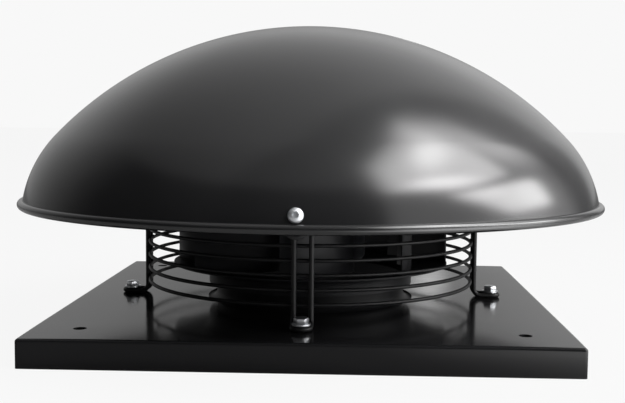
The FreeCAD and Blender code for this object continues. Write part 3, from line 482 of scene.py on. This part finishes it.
# each finish: its maker, its name, its colour in the panel or as a code, and the maker's measures
FINISHES = {
    # deep black sheet that mirrors the window and the pale room softly
    "cowl coat": (powder_coat, "Semi-gloss black powder coat, cowl", "coat", 0.2, 0.12, 0.5),
    # the same on the deck, dimmer, with a clear low mirror image
    "plate coat": (powder_coat, "Semi-gloss black powder coat, plate", "coat", 0.13, 0.1, 0.145),
    # dull black with one broad streak of light along each wire
    "wire coat": (powder_coat, "Dipped black coat on wire", "coat", 0.5, 0.2, 0.26),
    # the same black coat with its gloss turned down, nearly flat: painted shade, so that the inside stays
    # dark
    "inner coat": (powder_coat, "Black powder coat, inside", "coat", 0.45, 0.2, 0.09),
    # dark satin sheet, just lighter than the shadow round it
    "impeller": (powder_coat, "Satin black paint on steel sheet", "impeller", 0.42, 0.25, 0.15),
    # small bright heads with a grey sheen and darker clouds, and duller ones on the cowl
    "zinc": (plated_steel, "Bright zinc plate", "zinc", 0.3, 6.0),
    "satin zinc": (plated_steel, "Satin zinc plate", "zinc", 0.45, 6.0),
    # a light grey mirror with fine rings
    "ground steel": (plated_steel, "Ground steel", "#b9bcc0", 0.2, 10.0),
    # a flat grey sheen
    "strip zinc": (plated_steel, "Zinc plated strip", "#b4b7ba", 0.35, 3.0),
    # pale silver with fine lines round it
    "capacitor can": (plated_steel, "Drawn aluminium can", "#c9cacc", 0.3, 8.0),
    # dull dark grey with a pebbled glint
    "casting": (cast_metal, "Dark passivated casting", "#5b5c5f", 0.5),
    # matt black that swallows the light
    "rubber": (moulded, "Moulded black rubber", "#171717", 0.7, 0.3),
    # even dark grey with a fine grain
    "box": (moulded, "Textured dark grey polycarbonate", "#3a3c3e", 0.5, 0.35),
    # black with a low sheen
    "gland": (moulded, "Black polyamide", "#1c1c1d", 0.45, 0.2),
    # thin grey bands, the sheets' edges, drawn 1 mm apart, twice as far as real ones, to show
    "lamination": (striped, "Punched core sheets", "#8b8d90", "#3f4143", 1 * MM, 0.4),
    # reddish brown turns of wire 0.9 mm thick, with a shine
    "copper": (striped, "Varnished copper wire", "#c77a45", "#5d2c14", 0.9 * MM, 0.3),
}
# the finishes made so far, by their names
PAINTS = {}


def paint(name):
    """One of the finishes, made the first time it is asked for."""
    if name not in PAINTS:
        maker, title, colour, *measures = FINISHES[name]
        if colour.startswith("#"):
            colour = linear(colour)
        else:
            colour = getattr(bpy.context.scene.roof_fan_colours, colour)
        PAINTS[name] = maker(title, colour, *measures)
    return PAINTS[name]


class FanOperator:
    """What the fan's operators share."""
    bl_options = {"REGISTER", "UNDO"}


class ROOFFAN_OT_cowl(FanOperator, bpy.types.Operator):
    """Spin the domed cowl with its flared foot and rolled rim"""
    bl_idname = "roof_fan.cowl"
    bl_label = "Spun cowl"

    def execute(self, context):
        sizes = context.scene.roof_fan_sizes
        low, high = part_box("cowl")
        crown, shoulder, bead = sizes.crown_radius, sizes.shoulder_radius, sizes.bead_radius
        inside = shoulder - sizes.cowl_sheet
        apex = high.z - crown
        centre_x, centre_z = shoulder_centre()
        bead_x, bead_z = high.x - bead, low.z + bead
        # the wall runs down until it meets the rolled bead in a tight crease
        across, down = bead_x - centre_x, bead_z - centre_z
        span = math.hypot(across, down)
        foot = math.atan2(across, down) - math.acos(
            (span ** 2 + shoulder ** 2 - bead ** 2) / (2 * span * shoulder))
        crease = math.degrees(math.atan2(centre_x + shoulder * math.sin(foot) - bead_x,
                                         centre_z + shoulder * math.cos(foot) - bead_z))
        turn = math.degrees(math.atan2(centre_x, centre_z - apex))
        inner_foot = math.radians(FOOT_SLOPE)
        cowl = spun([
            (0, high.z), (0, apex, turn, 36), (centre_x, centre_z, math.degrees(foot) - turn, 26),
            (bead_x, bead_z, 270 - crease, 28),
            (centre_x + inside * math.sin(inner_foot), centre_z + inside * math.cos(inner_foot)),
            (centre_x, centre_z, turn - FOOT_SLOPE, 20), (0, apex, -turn, 28),
        ], 192)
        for index in range(4):
            hole = cylinder(HOLE, 8 * MM)
            lay_on_wall(hole, 0)
            place(hole, turn=(0, 0, index * math.pi / 2))
            cut(cowl, hole)
        finished(cowl, "spun_cowl", "cowl coat", ["cowl"], 40)
        return {"FINISHED"}


def shoulder_centre():
    """The middle of the shoulder's arc, worked out from the rim."""
    shoulder = bpy.context.scene.roof_fan_sizes.shoulder_radius
    low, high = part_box("cowl")
    foot = math.radians(FOOT_SLOPE)
    return (high.x - FOOT_INSET - shoulder * math.sin(foot),
            low.z + FOOT_RISE - shoulder * math.cos(foot))


def cowl_screw_place():
    """Where a screw's axis meets the cowl's outside on the right, and its lean."""
    shoulder = bpy.context.scene.roof_fan_sizes.shoulder_radius
    centre_x, centre_z = shoulder_centre()
    lean = math.acos((DECK + SCREW_RISE - centre_z) / shoulder)
    return Vector((centre_x + shoulder * math.sin(lean), 0, DECK + SCREW_RISE)), lean


def lay_on_wall(piece, out):
    """Tip a piece that stands on the axis over to the wall's slope and set it at the screw's place."""
    spot, lean = cowl_screw_place()
    place(piece, turn=(0, lean, 0))
    place(piece, (spot.x + out * math.sin(lean), 0, spot.z + out * math.cos(lean)))


class ROOFFAN_OT_cowl_hardware(FanOperator, bpy.types.Operator):
    """Fit the button-head screws, steel washers and nuts of the cowl"""
    bl_idname = "roof_fan.cowl_hardware"
    bl_label = "Cowl screws"

    def execute(self, context):
        # each screw's axis leans back by the slope of the wall it goes through
        profile = ((0, 0), (5.25, 0), (5.25, 0.7), (4.9, 1.5), (4.2, 2.3), (3.3, 2.9), (2.2, 3.2),
                   (0, 3.3))
        screw = spun([(x * MM, z * MM) for x, z in profile], 48)
        cut(screw, cylinder(4 * MM / math.sqrt(3), 4 * MM, (0, 0, 3.4 * MM), 6))
        cut(screw, threaded(-16.8 * MM, 0.5 * MM), "UNION")
        for piece, out, name, finish, node in (
                (screw, 0.1, "cowl_screw_set", "satin zinc", "cowl_screws"),
                (washer_ring(9 * MM), -8.55, "cowl_washer_set", "zinc", "eye_washers"),
                (hex_nut(), -13.65, "cowl_nut_set", "zinc", "cowl_nuts")):
            lay_on_wall(piece, out * MM)
            finished_four(piece, name, finish, node)
        return {"FINISHED"}


class ROOFFAN_OT_base_plate(FanOperator, bpy.types.Operator):
    """Fold the square base plate, cut its inlet, its curb holes and its bolt holes"""
    bl_idname = "roof_fan.base_plate"
    bl_label = "Base plate"

    def execute(self, context):
        sizes = context.scene.roof_fan_sizes
        low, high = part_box("base_plate")
        side, height = high.x - low.x, high.z - low.z
        plate = block((side, side, height), (0, 0, low.z + height / 2))
        edit(plate)
        # the deck bows down by a hair towards its folds
        for reach in DECK_LINES:
            for way in ((1, 0, 0), (-1, 0, 0), (0, 1, 0), (0, -1, 0)):
                bpy.ops.mesh.select_all(action="SELECT")
                bpy.ops.mesh.bisect(plane_co=Vector(way) * reach * MM, plane_no=way)
        for reach, drop in DECK_BOW:
            for axis in (0, 1):
                pick(plate, "VERT",
                     lambda at, vert: abs(at[axis]) > reach * MM and at.z > low.z + MM)
                bpy.ops.transform.translate(value=(0, 0, -drop * MM))
        # the rim of the deck and the four corners are rounded
        rim = side / 2 - 0.1 * MM
        pick(plate, "EDGE", lambda at, edge: min(abs(at.x), abs(at.y)) > rim
             or at.z > high.z - MM and max(abs(at.x), abs(at.y)) > rim)
        bpy.ops.mesh.bevel(offset=sizes.plate_fold, segments=5, profile=0.5)
        pick(plate, "FACE", lambda at, face: face.normal.z < -0.9)
        bpy.ops.mesh.delete(type="FACE")
        bpy.ops.object.mode_set(mode="OBJECT")
        apply_modifier(plate, "SOLIDIFY", thickness=sizes.plate_sheet, offset=-1.0,
                       use_even_offset=True)
        # open seams where two skirts meet, closed by a weld near the deck
        for index in range(4):
            angle = math.pi / 4 + index * math.pi / 2
            slit = block((8 * MM, 0.5 * MM, 15 * MM))
            place(slit, (*on_circle(side / math.sqrt(2), angle), 6.5 * MM), (0, 0, angle))
            cut(plate, slit)
        drill(plate, 0, 0, DECK, INLET, 128)
        for x in (-CURB_REACH, CURB_REACH):
            for y in (-CURB_REACH, CURB_REACH):
                drill(plate, x, y, DECK, CURB_HOLE, 40)
        for index in range(4):
            drill(plate, *on_circle(foot_circle(), index * math.pi / 2), DECK, HOLE)
        finished(plate, "folded_plate", "plate coat", ["base_plate"])
        return {"FINISHED"}


class ROOFFAN_OT_nozzle(FanOperator, bpy.types.Operator):
    """Spin the inlet bell that leads the air into the impeller"""
    bl_idname = "roof_fan.nozzle"
    bl_label = "Inlet nozzle"

    def execute(self, context):
        low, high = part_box("inlet_nozzle")
        throat, bell, gauge = 82 * MM, 8 * MM, 1.5 * MM
        under = DECK - gauge
        bell_ring = spun([
            (high.x, low.z), (high.x, under), (throat + bell, under),
            (throat + bell, under + bell, 90, 14), (throat, high.z), (throat - gauge, high.z),
            (throat - gauge, under + bell), (throat + bell, under + bell, -90, 14),
        ], 144)
        finished(bell_ring, "inlet_bell", "inner coat", ["inlet_nozzle"], 40)
        return {"FINISHED"}


def foot_circle():
    """How far the foot bolts stand from the fan's axis: at the middle of their washers."""
    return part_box("foot_washers")[1].x - 7 * MM


class ROOFFAN_OT_stays(FanOperator, bpy.types.Operator):
    """Bend the four double-wire stays, each one closed loop of wire"""
    bl_idname = "roof_fan.stays"
    bl_label = "Guard stays"

    def execute(self, context):
        wire = context.scene.roof_fan_sizes.wire_radius
        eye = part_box("guard_stay_right")[1].y - wire
        foot_x, foot_z = foot_circle(), DECK + wire + GAP
        arm_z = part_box("motor_plate")[0].z - wire - GAP
        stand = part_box("guard_ring_1")[1].x + wire + GAP
        foot_bend, arm_bend, leg_bend = 6 * MM, 8 * MM, 6 * MM
        # the leg runs down behind the cowl's wall, and its tip lies a little past the screw
        spot, lean = cowl_screw_place()
        slope = Vector((math.cos(lean), 0, -math.sin(lean)))
        skin = Vector((math.sin(lean), 0, math.cos(lean)))
        leg = spot - EYE_DEPTH * skin
        tip = leg + 6.6 * MM * slope
        corner_x = leg.x - (arm_z - leg.z) / math.tan(lean)
        run = leg_bend * math.tan(lean / 2)
        half = start_wire((foot_x + eye, 0, foot_z), wire, (math.pi / 2, 0, 0))
        bend((foot_x, 0, foot_z), 90, (0, 0, 1), 10)
        pull(stand + foot_bend - foot_x, 0, 0)
        bend((stand + foot_bend, eye, foot_z + foot_bend), 90)
        pull(0, 0, arm_z - arm_bend - foot_z - foot_bend)
        bend((stand + arm_bend, eye, arm_z - arm_bend), 90)
        pull(corner_x - run - stand - arm_bend, 0, 0)
        bend((corner_x - run, eye, arm_z - leg_bend), math.degrees(lean))
        pull(*(tip - Vector((corner_x, 0, arm_z)) - run * slope))
        bend(tip, -90, skin, 10)
        turn_outwards()
        place(half)
        apply_modifier(half, "MIRROR", use_axis=(False, True, False), merge_threshold=0.02 * MM)
        edit(half)
        turn_outwards()
        for name, stay in zip(("right", "back", "left", "front"), copies(half, 4)):
            finished(stay, f"wire_stay_{name}", "wire coat", [f"guard_stay_{name}"], 60)
        return {"FINISHED"}


class ROOFFAN_OT_guard(FanOperator, bpy.types.Operator):
    """Ring the impeller with the guard wires and weld them to the stays"""
    bl_idname = "roof_fan.guard"
    bl_label = "Guard rings"

    def execute(self, context):
        wire = context.scene.roof_fan_sizes.ring_wire
        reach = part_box("guard_stay_right")[1].y - 2 * MM
        welds = []
        for index in range(1, 7):
            low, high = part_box(f"guard_ring_{index}")
            circle = high.x - wire
            level = (low.z + high.z) / 2
            clear_selection()
            bpy.ops.mesh.primitive_torus_add(
                major_radius=circle, minor_radius=wire, major_segments=160, minor_segments=14,
                location=(0, 0, level), rotation=(0, 0, index * 0.37))
            finished(bpy.context.object, f"wire_ring_{index}", "wire coat",
                     [f"guard_ring_{index}"], 60)
            for y in (-reach, reach):
                x = math.sqrt(circle ** 2 - y ** 2) + wire * 0.85
                clear_selection()
                bpy.ops.mesh.primitive_ico_sphere_add(subdivisions=3, radius=1, location=(x, y, level))
                bpy.context.object.scale = (0.9 * MM, 1.6 * MM, 1.5 * MM)
                settle()
                welds.append(bpy.context.object)
        group = join(copies(join(welds), 4))
        finished(group, "guard_welds", "wire coat", (), 60)
        return {"FINISHED"}


class ROOFFAN_OT_foot_hardware(FanOperator, bpy.types.Operator):
    """Bolt the stays down: hexagon bolts and washers on the eyes, nuts under the plate"""
    bl_idname = "roof_fan.foot_hardware"
    bl_label = "Foot bolts"

    def execute(self, context):
        bolt_low, bolt_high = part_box("foot_bolts")
        for piece, level, name, node, smooth in (
                (washer_ring(7 * MM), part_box("foot_washers")[0].z, "foot_washer_set",
                 "foot_washers", 35),
                (hex_bolt(bolt_low.z, bolt_high.z), 0, "foot_bolt_set", "foot_bolts", 30),
                (hex_nut(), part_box("foot_nuts")[0].z, "foot_nut_set", "foot_nuts", 30)):
            place(piece, (foot_circle(), 0, level))
            finished_four(piece, name, "zinc", node, smooth)
        return {"FINISHED"}


class ROOFFAN_OT_motor_tray(FanOperator, bpy.types.Operator):
    """Press the round motor plate with its turned-up lip, and clamp it to the arms"""
    bl_idname = "roof_fan.motor_tray"
    bl_label = "Motor plate"

    def execute(self, context):
        low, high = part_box("motor_plate")
        gauge, rim, hole = 2 * MM, high.x, 12 * MM
        tray = spun([
            (hole, low.z), (rim - gauge, low.z), (rim - gauge, low.z + gauge, -90, 6),
            (rim, high.z - 0.6 * MM), (rim - 0.6 * MM, high.z), (rim - gauge + 0.4 * MM, high.z),
            (rim - gauge, high.z - 0.4 * MM), (rim - gauge, low.z + gauge), (hole, low.z + gauge),
        ], 160)
        clamp_low, clamp_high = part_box("arm_clamps")
        circle = clamp_high.x - 8.5 * MM
        for index in range(4):
            angle = index * math.pi / 2
            drill(tray, *on_circle(circle, angle), low.z, HOLE)
            drill(tray, *on_circle(36 * MM, angle), low.z, 2.2 * MM)
        finished(tray, "motor_tray", "inner coat", ["motor_plate"])
        clamp = block((17 * MM, 26 * MM, clamp_high.z - clamp_low.z))
        place(clamp, (circle, 0, (clamp_low.z + clamp_high.z) / 2))
        apply_modifier(clamp, "BEVEL", width=0.5 * MM, segments=3, limit_method="ANGLE")
        drill(clamp, circle, 0, clamp_low.z, HOLE)
        finished_four(clamp, "arm_clamp_set", "inner coat", "arm_clamps")
        # the bolts hang from the clamps: built upright, then turned over
        bolt_low, bolt_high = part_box("clamp_bolts")
        bolt = hex_bolt(-bolt_high.z, -bolt_low.z)
        place(bolt, turn=(math.pi, 0, 0))
        place(bolt, (circle, 0, 0))
        finished_four(bolt, "clamp_bolt_set", "zinc", "clamp_bolts", 30)
        nut = hex_nut()
        place(nut, (circle, 0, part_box("clamp_nuts")[0].z))
        finished_four(nut, "clamp_nut_set", "zinc", "clamp_nuts", 30)
        return {"FINISHED"}


class ROOFFAN_OT_impeller(FanOperator, bpy.types.Operator):
    """Make the impeller: front shroud, back plate with its screw holes, and curved blades"""
    bl_idname = "roof_fan.impeller"
    bl_label = "Impeller"

    def execute(self, context):
        low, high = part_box("impeller_front_shroud")
        gauge, curve, neck = 1.2 * MM, 9 * MM, 89.2 * MM
        face = high.z - gauge
        shroud = spun([
            (neck - gauge, low.z), (neck, low.z), (neck, face - curve),
            (neck + curve, face - curve, 90, 10), (high.x, face), (high.x, high.z),
            (neck + curve, high.z), (neck + curve, face - curve, -90, 10),
        ], 144)
        finished(shroud, "front_shroud", "impeller", ["impeller_front_shroud"], 40, "rotor")
        low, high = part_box("impeller_back_plate")
        bore = 45.5 * MM
        disc = spun([(bore, low.z), (high.x, low.z), (high.x, high.z), (bore, high.z)], 144)
        for index in range(6):
            drill(disc, *on_circle(54 * MM, index * math.pi / 3), low.z, 2.05 * MM)
        finished(disc, "back_disc", "impeller", ["impeller_back_plate"], 35, "rotor")
        for index, piece in enumerate(copies(self.blade(), BLADES), 1):
            finished(piece, f"curved_blade_{index}", "impeller", [f"impeller_blade_{index}"],
                     35, "rotor")
        return {"FINISHED"}

    def blade(self):
        """The first backward-curved blade, bent from sheet."""
        low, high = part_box("impeller_blade_1")
        inner, outer, curve, gauge = 80 * MM, 119.4 * MM, 70 * MM, 1.5 * MM
        root = Vector((inner, 0, low.z))
        tip = Vector((*on_circle(outer, -math.radians(BLADE_LEAN)), low.z))
        chord = tip - root
        side = Vector((chord.y, -chord.x, 0)).normalized()
        centre = (root + tip) / 2 + side * math.sqrt(curve ** 2 - chord.length ** 2 / 4)
        sweep = 2 * math.asin(chord.length / 2 / curve)
        piece = start_point(inner, low.z)
        bend(centre, -math.degrees(sweep), (0, 0, 1), 16)
        bpy.ops.mesh.select_all(action="SELECT")
        pull(0, 0, high.z - low.z)
        turn_outwards()
        place(piece)
        face = piece.data.polygons[0]
        inward = Vector((centre.x - face.center.x, centre.y - face.center.y, 0))
        apply_modifier(piece, "SOLIDIFY", thickness=gauge,
                       offset=1.0 if face.normal.dot(inward) > 0 else -1.0)
        apply_modifier(piece, "BEVEL", width=0.25 * MM, segments=2, limit_method="ANGLE")
        place(piece, turn=(0, 0, math.radians(FIRST_ROOT)))
        return piece


class ROOFFAN_OT_motor(FanOperator, bpy.types.Operator):
    """Spin the motor's rotating can and finish the pieces of the motor"""
    bl_idname = "roof_fan.motor"
    bl_label = "Motor"

    def execute(self, context):
        low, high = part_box("rotor_can")
        radius, wall, flange = 48 * MM, 3 * MM, 60 * MM
        base, top = low.z, high.z
        bore, boss, boss_top = 5.02 * MM, 12 * MM, base + 12 * MM
        can = spun([
            (bore, base + 0.6 * MM), (bore + 0.6 * MM, base), (18 * MM, base), (19 * MM, base + 0.8 * MM),
            (34 * MM, base + 0.8 * MM), (35 * MM, base), (radius - wall, base),
            (radius - wall, base + wall, -90, 8), (radius, top - wall - MM),
            (radius + MM, top - wall - MM, 90, 5), (flange, top - wall), (flange, top),
            (radius - wall, top), (radius - wall, base + 4 * MM), (boss, base + 4 * MM),
            (boss, boss_top), (bore, boss_top),
        ])
        finished(can, "rotor_shell", "casting", ["rotor_can"], 35, "rotor")
        for finish, nodes in {
                "casting": ("motor_flange",), "lamination": ("stator_core", "rotor_cage"),
                "copper": ("stator_windings",),
                "ground steel": ("bearing_lower", "bearing_upper", "shaft", "circlip"),
                "zinc": ("motor_screws", "impeller_screws", "lid_screws", "strap_screws"),
                "rubber": ("lead_grommet", "cowl_gaskets"), "box": ("terminal_box", "terminal_lid"),
                "gland": ("cable_gland",), "capacitor can": ("run_capacitor",),
                "strip zinc": ("capacitor_strap",)}.items():
            for node in nodes:
                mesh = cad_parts[node].data
                mesh.materials.clear()
                mesh.materials.append(paint(finish))
        return {"FINISHED"}


class ROOFFAN_OT_studio(FanOperator, bpy.types.Operator):
    """Set the floor, the surround, the window and the camera"""
    bl_idname = "roof_fan.studio"
    bl_label = "Studio"

    def execute(self, context):
        scene = context.scene
        scene.view_settings.view_transform = "Standard"
        clear_selection()
        bpy.ops.mesh.primitive_plane_add(size=40, location=(0, 0, 0))
        floor = context.object
        floor.name = "studio_floor"
        floor.data.materials.append(self.floor_paint())
        self.world(scene)
        self.camera(scene)
        self.window()
        return {"FINISHED"}

    def floor_paint(self):
        """Pale floor that reads as the backdrop to the camera and still takes a soft shadow."""
        material = bpy.data.materials.new("Pale floor")
        tree = emptied(material)
        colour = rgba(bpy.context.scene.roof_fan_colours.backdrop)
        path = add_node(tree, "LightPath").outputs
        where = add_node(tree, "TexCoord").outputs["Object"]
        # the floor's colour is a little greyer away from the window: painted shade where the window's
        # light falls off
        across = add_node(tree, "SeparateXYZ", where)
        grey = add_node(tree, "MapRange", across, -0.4, 0.4, 0.28, 0.32)
        matt = add_node(tree, "BsdfDiffuse", Color=grey)
        # the plate stands on it out to 200 mm: a little light comes back from there, so that the
        # plate's inside can be made out, but the camera sees it dark through the plate's holes
        inner = add_node(tree, "VectorMath", where, operation="ABSOLUTE")
        x, y, _ = add_node(tree, "SeparateXYZ", inner).outputs
        far = add_node(tree, "Math", x, y, operation="MAXIMUM")
        under = add_node(tree, "MapRange", far, 0.198, 0.2, 0.4, 0.0)
        clear = add_node(tree, "MapRange", far, 0.198, 0.2, 0.0, 0.94)
        # only the gloss mirrors a pool of daylight at the front on the right
        off = add_node(tree, "VectorMath", where, (0.48, -0.45, 0.0), operation="DISTANCE")
        pool = add_node(tree, "MapRange", off, 0.1, 0.45, 7.0, 0.0,
                        interpolation_type="SMOOTHSTEP")
        mirrored = add_node(tree, "Math", pool, path["Is Glossy Ray"], operation="MULTIPLY")
        unseen = add_node(tree, "Math", 1.0, path["Is Camera Ray"], operation="SUBTRACT")
        strength = add_node(tree, "Math", under, unseen, mirrored, operation="MULTIPLY_ADD")
        daylight = add_node(tree, "Emission", Strength=strength)
        lit = add_node(tree, "AddShader", matt, daylight)
        glow = add_node(tree, "Emission", Color=colour, Strength=1.03)
        share = add_node(tree, "Math", path["Is Camera Ray"], clear, operation="MULTIPLY")
        above = add_node(tree, "MixShader", share, lit, glow)
        # from below the floor lets the fan be seen
        side = add_node(tree, "NewGeometry").outputs["Backfacing"]
        through = add_node(tree, "BsdfTransparent")
        surface = add_node(tree, "MixShader", side, above, through)
        add_node(tree, "OutputMaterial", Surface=surface)
        return material

    def world(self, scene):
        """The room round the fan as its gloss mirrors it: a pale ceiling, dark low front and left."""
        scene.world = bpy.data.worlds.new("Studio surround")
        tree = emptied(scene.world)
        colour = rgba(bpy.context.scene.roof_fan_colours.backdrop)
        way = add_node(tree, "TexCoord").outputs["Generated"]
        x, y, z = add_node(tree, "SeparateXYZ", way).outputs
        # brighter from left to right, and never quite dark at the back
        across = add_node(tree, "MapRange", x, -0.75, 0.3, 0.26, 1.2)
        behind = add_node(tree, "MapRange", y, -0.15, 0.9, 0.0, 0.8)
        room = add_node(tree, "Math", across, behind, operation="MAXIMUM")
        # the front is dark between the edge of the ceiling and the floor's far edge
        ceiling = add_node(tree, "MapRange", z, 0.63, 0.71, 0.23, 1.0,
                           interpolation_type="SMOOTHSTEP")
        ground = add_node(tree, "MapRange", z, 0.02, 0.2, 0.9, 0.0)
        back = add_node(tree, "MapRange", y, -0.2, 0.3, 0.0, 1.0,
                        interpolation_type="SMOOTHSTEP")
        low = add_node(tree, "Math", ceiling, ground, operation="MAXIMUM")
        low = add_node(tree, "Math", low, back, operation="MAXIMUM")
        # the walls fade towards the floor
        fade = add_node(tree, "MapRange", z, 0.0, 0.45, 0.58, 1.0)
        # a dark corner behind on the right, between the window's wall and the back wall
        corner = add_node(tree, "Math", y, -0.72, x, operation="MULTIPLY_ADD")
        depth = add_node(tree, "MapRange", z, 0.05, 0.5, 0.3, 0.56)
        dark = add_node(tree, "MapRange", corner, -0.03, 0.06, 1.0, depth)
        # straight behind the fan the wall is dimmer, where its own shadow falls
        off = add_node(tree, "VectorMath", way, (0.0, 1.0, 0.1), operation="DISTANCE")
        shadow = add_node(tree, "MapRange", off, 0.14, 0.32, 0.68, 1.0)
        for share in (low, fade, dark, shadow):
            room = add_node(tree, "Math", room, share, operation="MULTIPLY")
        # a small lit opening in it, which the deck mirrors beside the nozzle
        off = add_node(tree, "VectorMath", way, (0.076, 0.984, 0.16), operation="DISTANCE")
        gap = add_node(tree, "MapRange", off, 0.008, 0.026, 1.8, 0.0)
        strength = add_node(tree, "Math", room, gap, operation="ADD")
        around = add_node(tree, "Background", Color=colour, Strength=strength)
        # the camera itself sees the plain backdrop
        seen = add_node(tree, "Background", Color=colour, Strength=1.0)
        camera = add_node(tree, "LightPath").outputs["Is Camera Ray"]
        add_node(tree, "OutputWorld", Surface=add_node(tree, "MixShader", camera, around, seen))

    def camera(self, scene):
        """The photograph's place: a little right of centre, looking slightly down."""
        data = bpy.data.cameras.new("Camera")
        camera = bpy.data.objects.new("Camera", data)
        scene.collection.objects.link(camera)
        data.sensor_width = FILM
        data.lens = FOCAL / PHOTO_WIDTH * FILM
        data.clip_start = 0.01
        yaw, pitch, roll = (math.radians(angle) for angle in (-2.206, 4.533, 0.493))
        # the place was fitted in lengths of the plate's side, from the middle of its deck
        low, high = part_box("base_plate")
        spot = Vector((0.0891, -2.223, 0.3831)) * round(high.x - low.x, 3) + Vector((0, 0, DECK))
        ahead = Vector((math.sin(yaw) * math.cos(pitch), math.cos(yaw) * math.cos(pitch),
                        -math.sin(pitch)))
        right = Vector((math.cos(yaw), -math.sin(yaw), 0))
        up = right.cross(ahead)
        side = math.cos(roll) * right + math.sin(roll) * up
        top = -math.sin(roll) * right + math.cos(roll) * up
        turn = Matrix((side, top, -ahead)).transposed().to_4x4()
        camera.matrix_world = Matrix.Translation(spot) @ turn
        scene.camera = camera

    def window(self):
        """A tall window on the right, its sill and a bar across it tilted."""
        clear_selection()
        bpy.ops.mesh.primitive_plane_add(size=1, location=(1.2, -0.7, 1.76),
                                         rotation=(math.pi / 2, 0, -math.pi / 2))
        window = bpy.context.object
        window.name = "studio_window"
        window.scale = (2.8, 3.5, 1)
        settle()
        window.data.materials.append(self.window_paint())
        window.visible_camera = False

    def window_paint(self):
        """A window's glow by height and depth: soft edges, a brighter pane and band, and a bar."""
        material = bpy.data.materials.new("Window light")
        tree = emptied(material)
        where = add_node(tree, "TexCoord").outputs["Object"]
        _, depth, height = add_node(tree, "SeparateXYZ", where).outputs
        # heights over lines that fall by these slopes towards the back
        sill, bar, side, foot, slant = (
            add_node(tree, "Math", depth, slope, height, operation="MULTIPLY_ADD")
            for slope in (0.62, 0.12, -5.56, 0.23, 1.0))

        def brighter(light, y, z, wide, tall, turn, strength):
            """A light with a soft oval glow added."""
            oval = add_node(tree, "Mapping", where, (0, y, z), (math.radians(turn), 0, 0),
                            (1000, wide, tall), vector_type="TEXTURE")
            off = add_node(tree, "VectorMath", oval, operation="LENGTH")
            glow = add_node(tree, "MapRange", off, 0.2, 1.0, strength, 0.0,
                            interpolation_type="SMOOTHSTEP")
            return add_node(tree, "Math", light, glow, operation="ADD")

        big = brighter(brighter(9.0, -0.4, 1.95, 0.85, 0.5, 45, 8.5),
                       -0.85, 1.22, 0.85, 0.19, -33, 13.0)
        small = brighter(11.5, -0.5, 0.72, 0.35, 0.12, -14, 5.0)
        # each light, and its soft edges: along what, from, to, and its shares there if not 0 and 1
        lights = (
            # the big one ends at its sill, the bar and its side, and falls off up and forwards
            (big, (sill, 0.39, 0.54), (bar, 0.77, 0.86), (side, 0.5, 1.8),
             (height, 2.1, 3.6, 1.0, 0.3), (depth, -2.1, -1.5, 0.2, 1.0)),
            # below the bar a smaller pane, cut off on a slant to the front
            (small, (height, 0.28, 0.4), (foot, 0.63, 0.73, 1.0, 0.0),
             (depth, 0.06, 0.22, 1.0, 0.0), (slant, -0.08, 0.1)),
            # light lying along the floor before it
            (5.5, (height, 0.14, 0.32, 1.0, 0.0), (depth, -0.15, 0.2, 1.0, 0.0),
             (depth, -1.9, -1.1, 0.3, 1.0)),
            # a dim strip beyond the side
            (4.3, (depth, 0.0, 0.2), (depth, 0.42, 0.62, 1.0, 0.0), (height, 0.6, 1.2),
             (height, 1.8, 3.0, 1.0, 0.5)))
        # the wall round it all is dim, and darker low down at the back
        dim = add_node(tree, "MapRange", height, 0.8, 1.3, 0.3, 0.75,
                       interpolation_type="SMOOTHSTEP")
        level = add_node(tree, "MapRange", depth, 0.2, 0.65, 1.6, dim,
                         interpolation_type="SMOOTHSTEP")
        for light, *edges in lights:
            for edge in edges:
                share = add_node(tree, "MapRange", *edge, interpolation_type="SMOOTHSTEP")
                light = add_node(tree, "Math", light, share, operation="MULTIPLY")
            level = add_node(tree, "Math", level, light, operation="ADD")
        add_node(tree, "OutputMaterial", Surface=add_node(tree, "Emission", Strength=level))
        return material


class ROOFFAN_PT_panel(bpy.types.Panel):
    """The fan's sizes, colours and pieces"""
    bl_idname = "ROOFFAN_PT_panel"
    bl_label = "Roof fan"
    bl_space_type = "VIEW_3D"
    bl_region_type = "UI"
    bl_category = "Roof fan"

    def draw(self, context):
        layout = self.layout
        for group in (context.scene.roof_fan_sizes, context.scene.roof_fan_colours):
            for name in group.__annotations__:
                layout.prop(group, name)
        for operator in OPERATORS:
            layout.operator(operator.bl_idname)


OPERATORS = (
    ROOFFAN_OT_cowl, ROOFFAN_OT_cowl_hardware, ROOFFAN_OT_base_plate, ROOFFAN_OT_nozzle,
    ROOFFAN_OT_stays, ROOFFAN_OT_guard, ROOFFAN_OT_foot_hardware, ROOFFAN_OT_motor_tray,
    ROOFFAN_OT_impeller, ROOFFAN_OT_motor, ROOFFAN_OT_studio,
)
CLASSES = (FanSizes, FanColours) + OPERATORS + (ROOFFAN_PT_panel,)


def register():
    for item in CLASSES:
        bpy.utils.register_class(item)
    bpy.types.Scene.roof_fan_sizes = bpy.props.PointerProperty(type=FanSizes)
    bpy.types.Scene.roof_fan_colours = bpy.props.PointerProperty(type=FanColours)


def unregister():
    del bpy.types.Scene.roof_fan_sizes
    del bpy.types.Scene.roof_fan_colours
    for item in reversed(CLASSES):
        bpy.utils.unregister_class(item)


def main():
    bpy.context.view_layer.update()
    register()
    for operator in OPERATORS:
        group, name = operator.bl_idname.split(".")
        getattr(getattr(bpy.ops, group), name)()


if __name__ == "__main__":
    main()
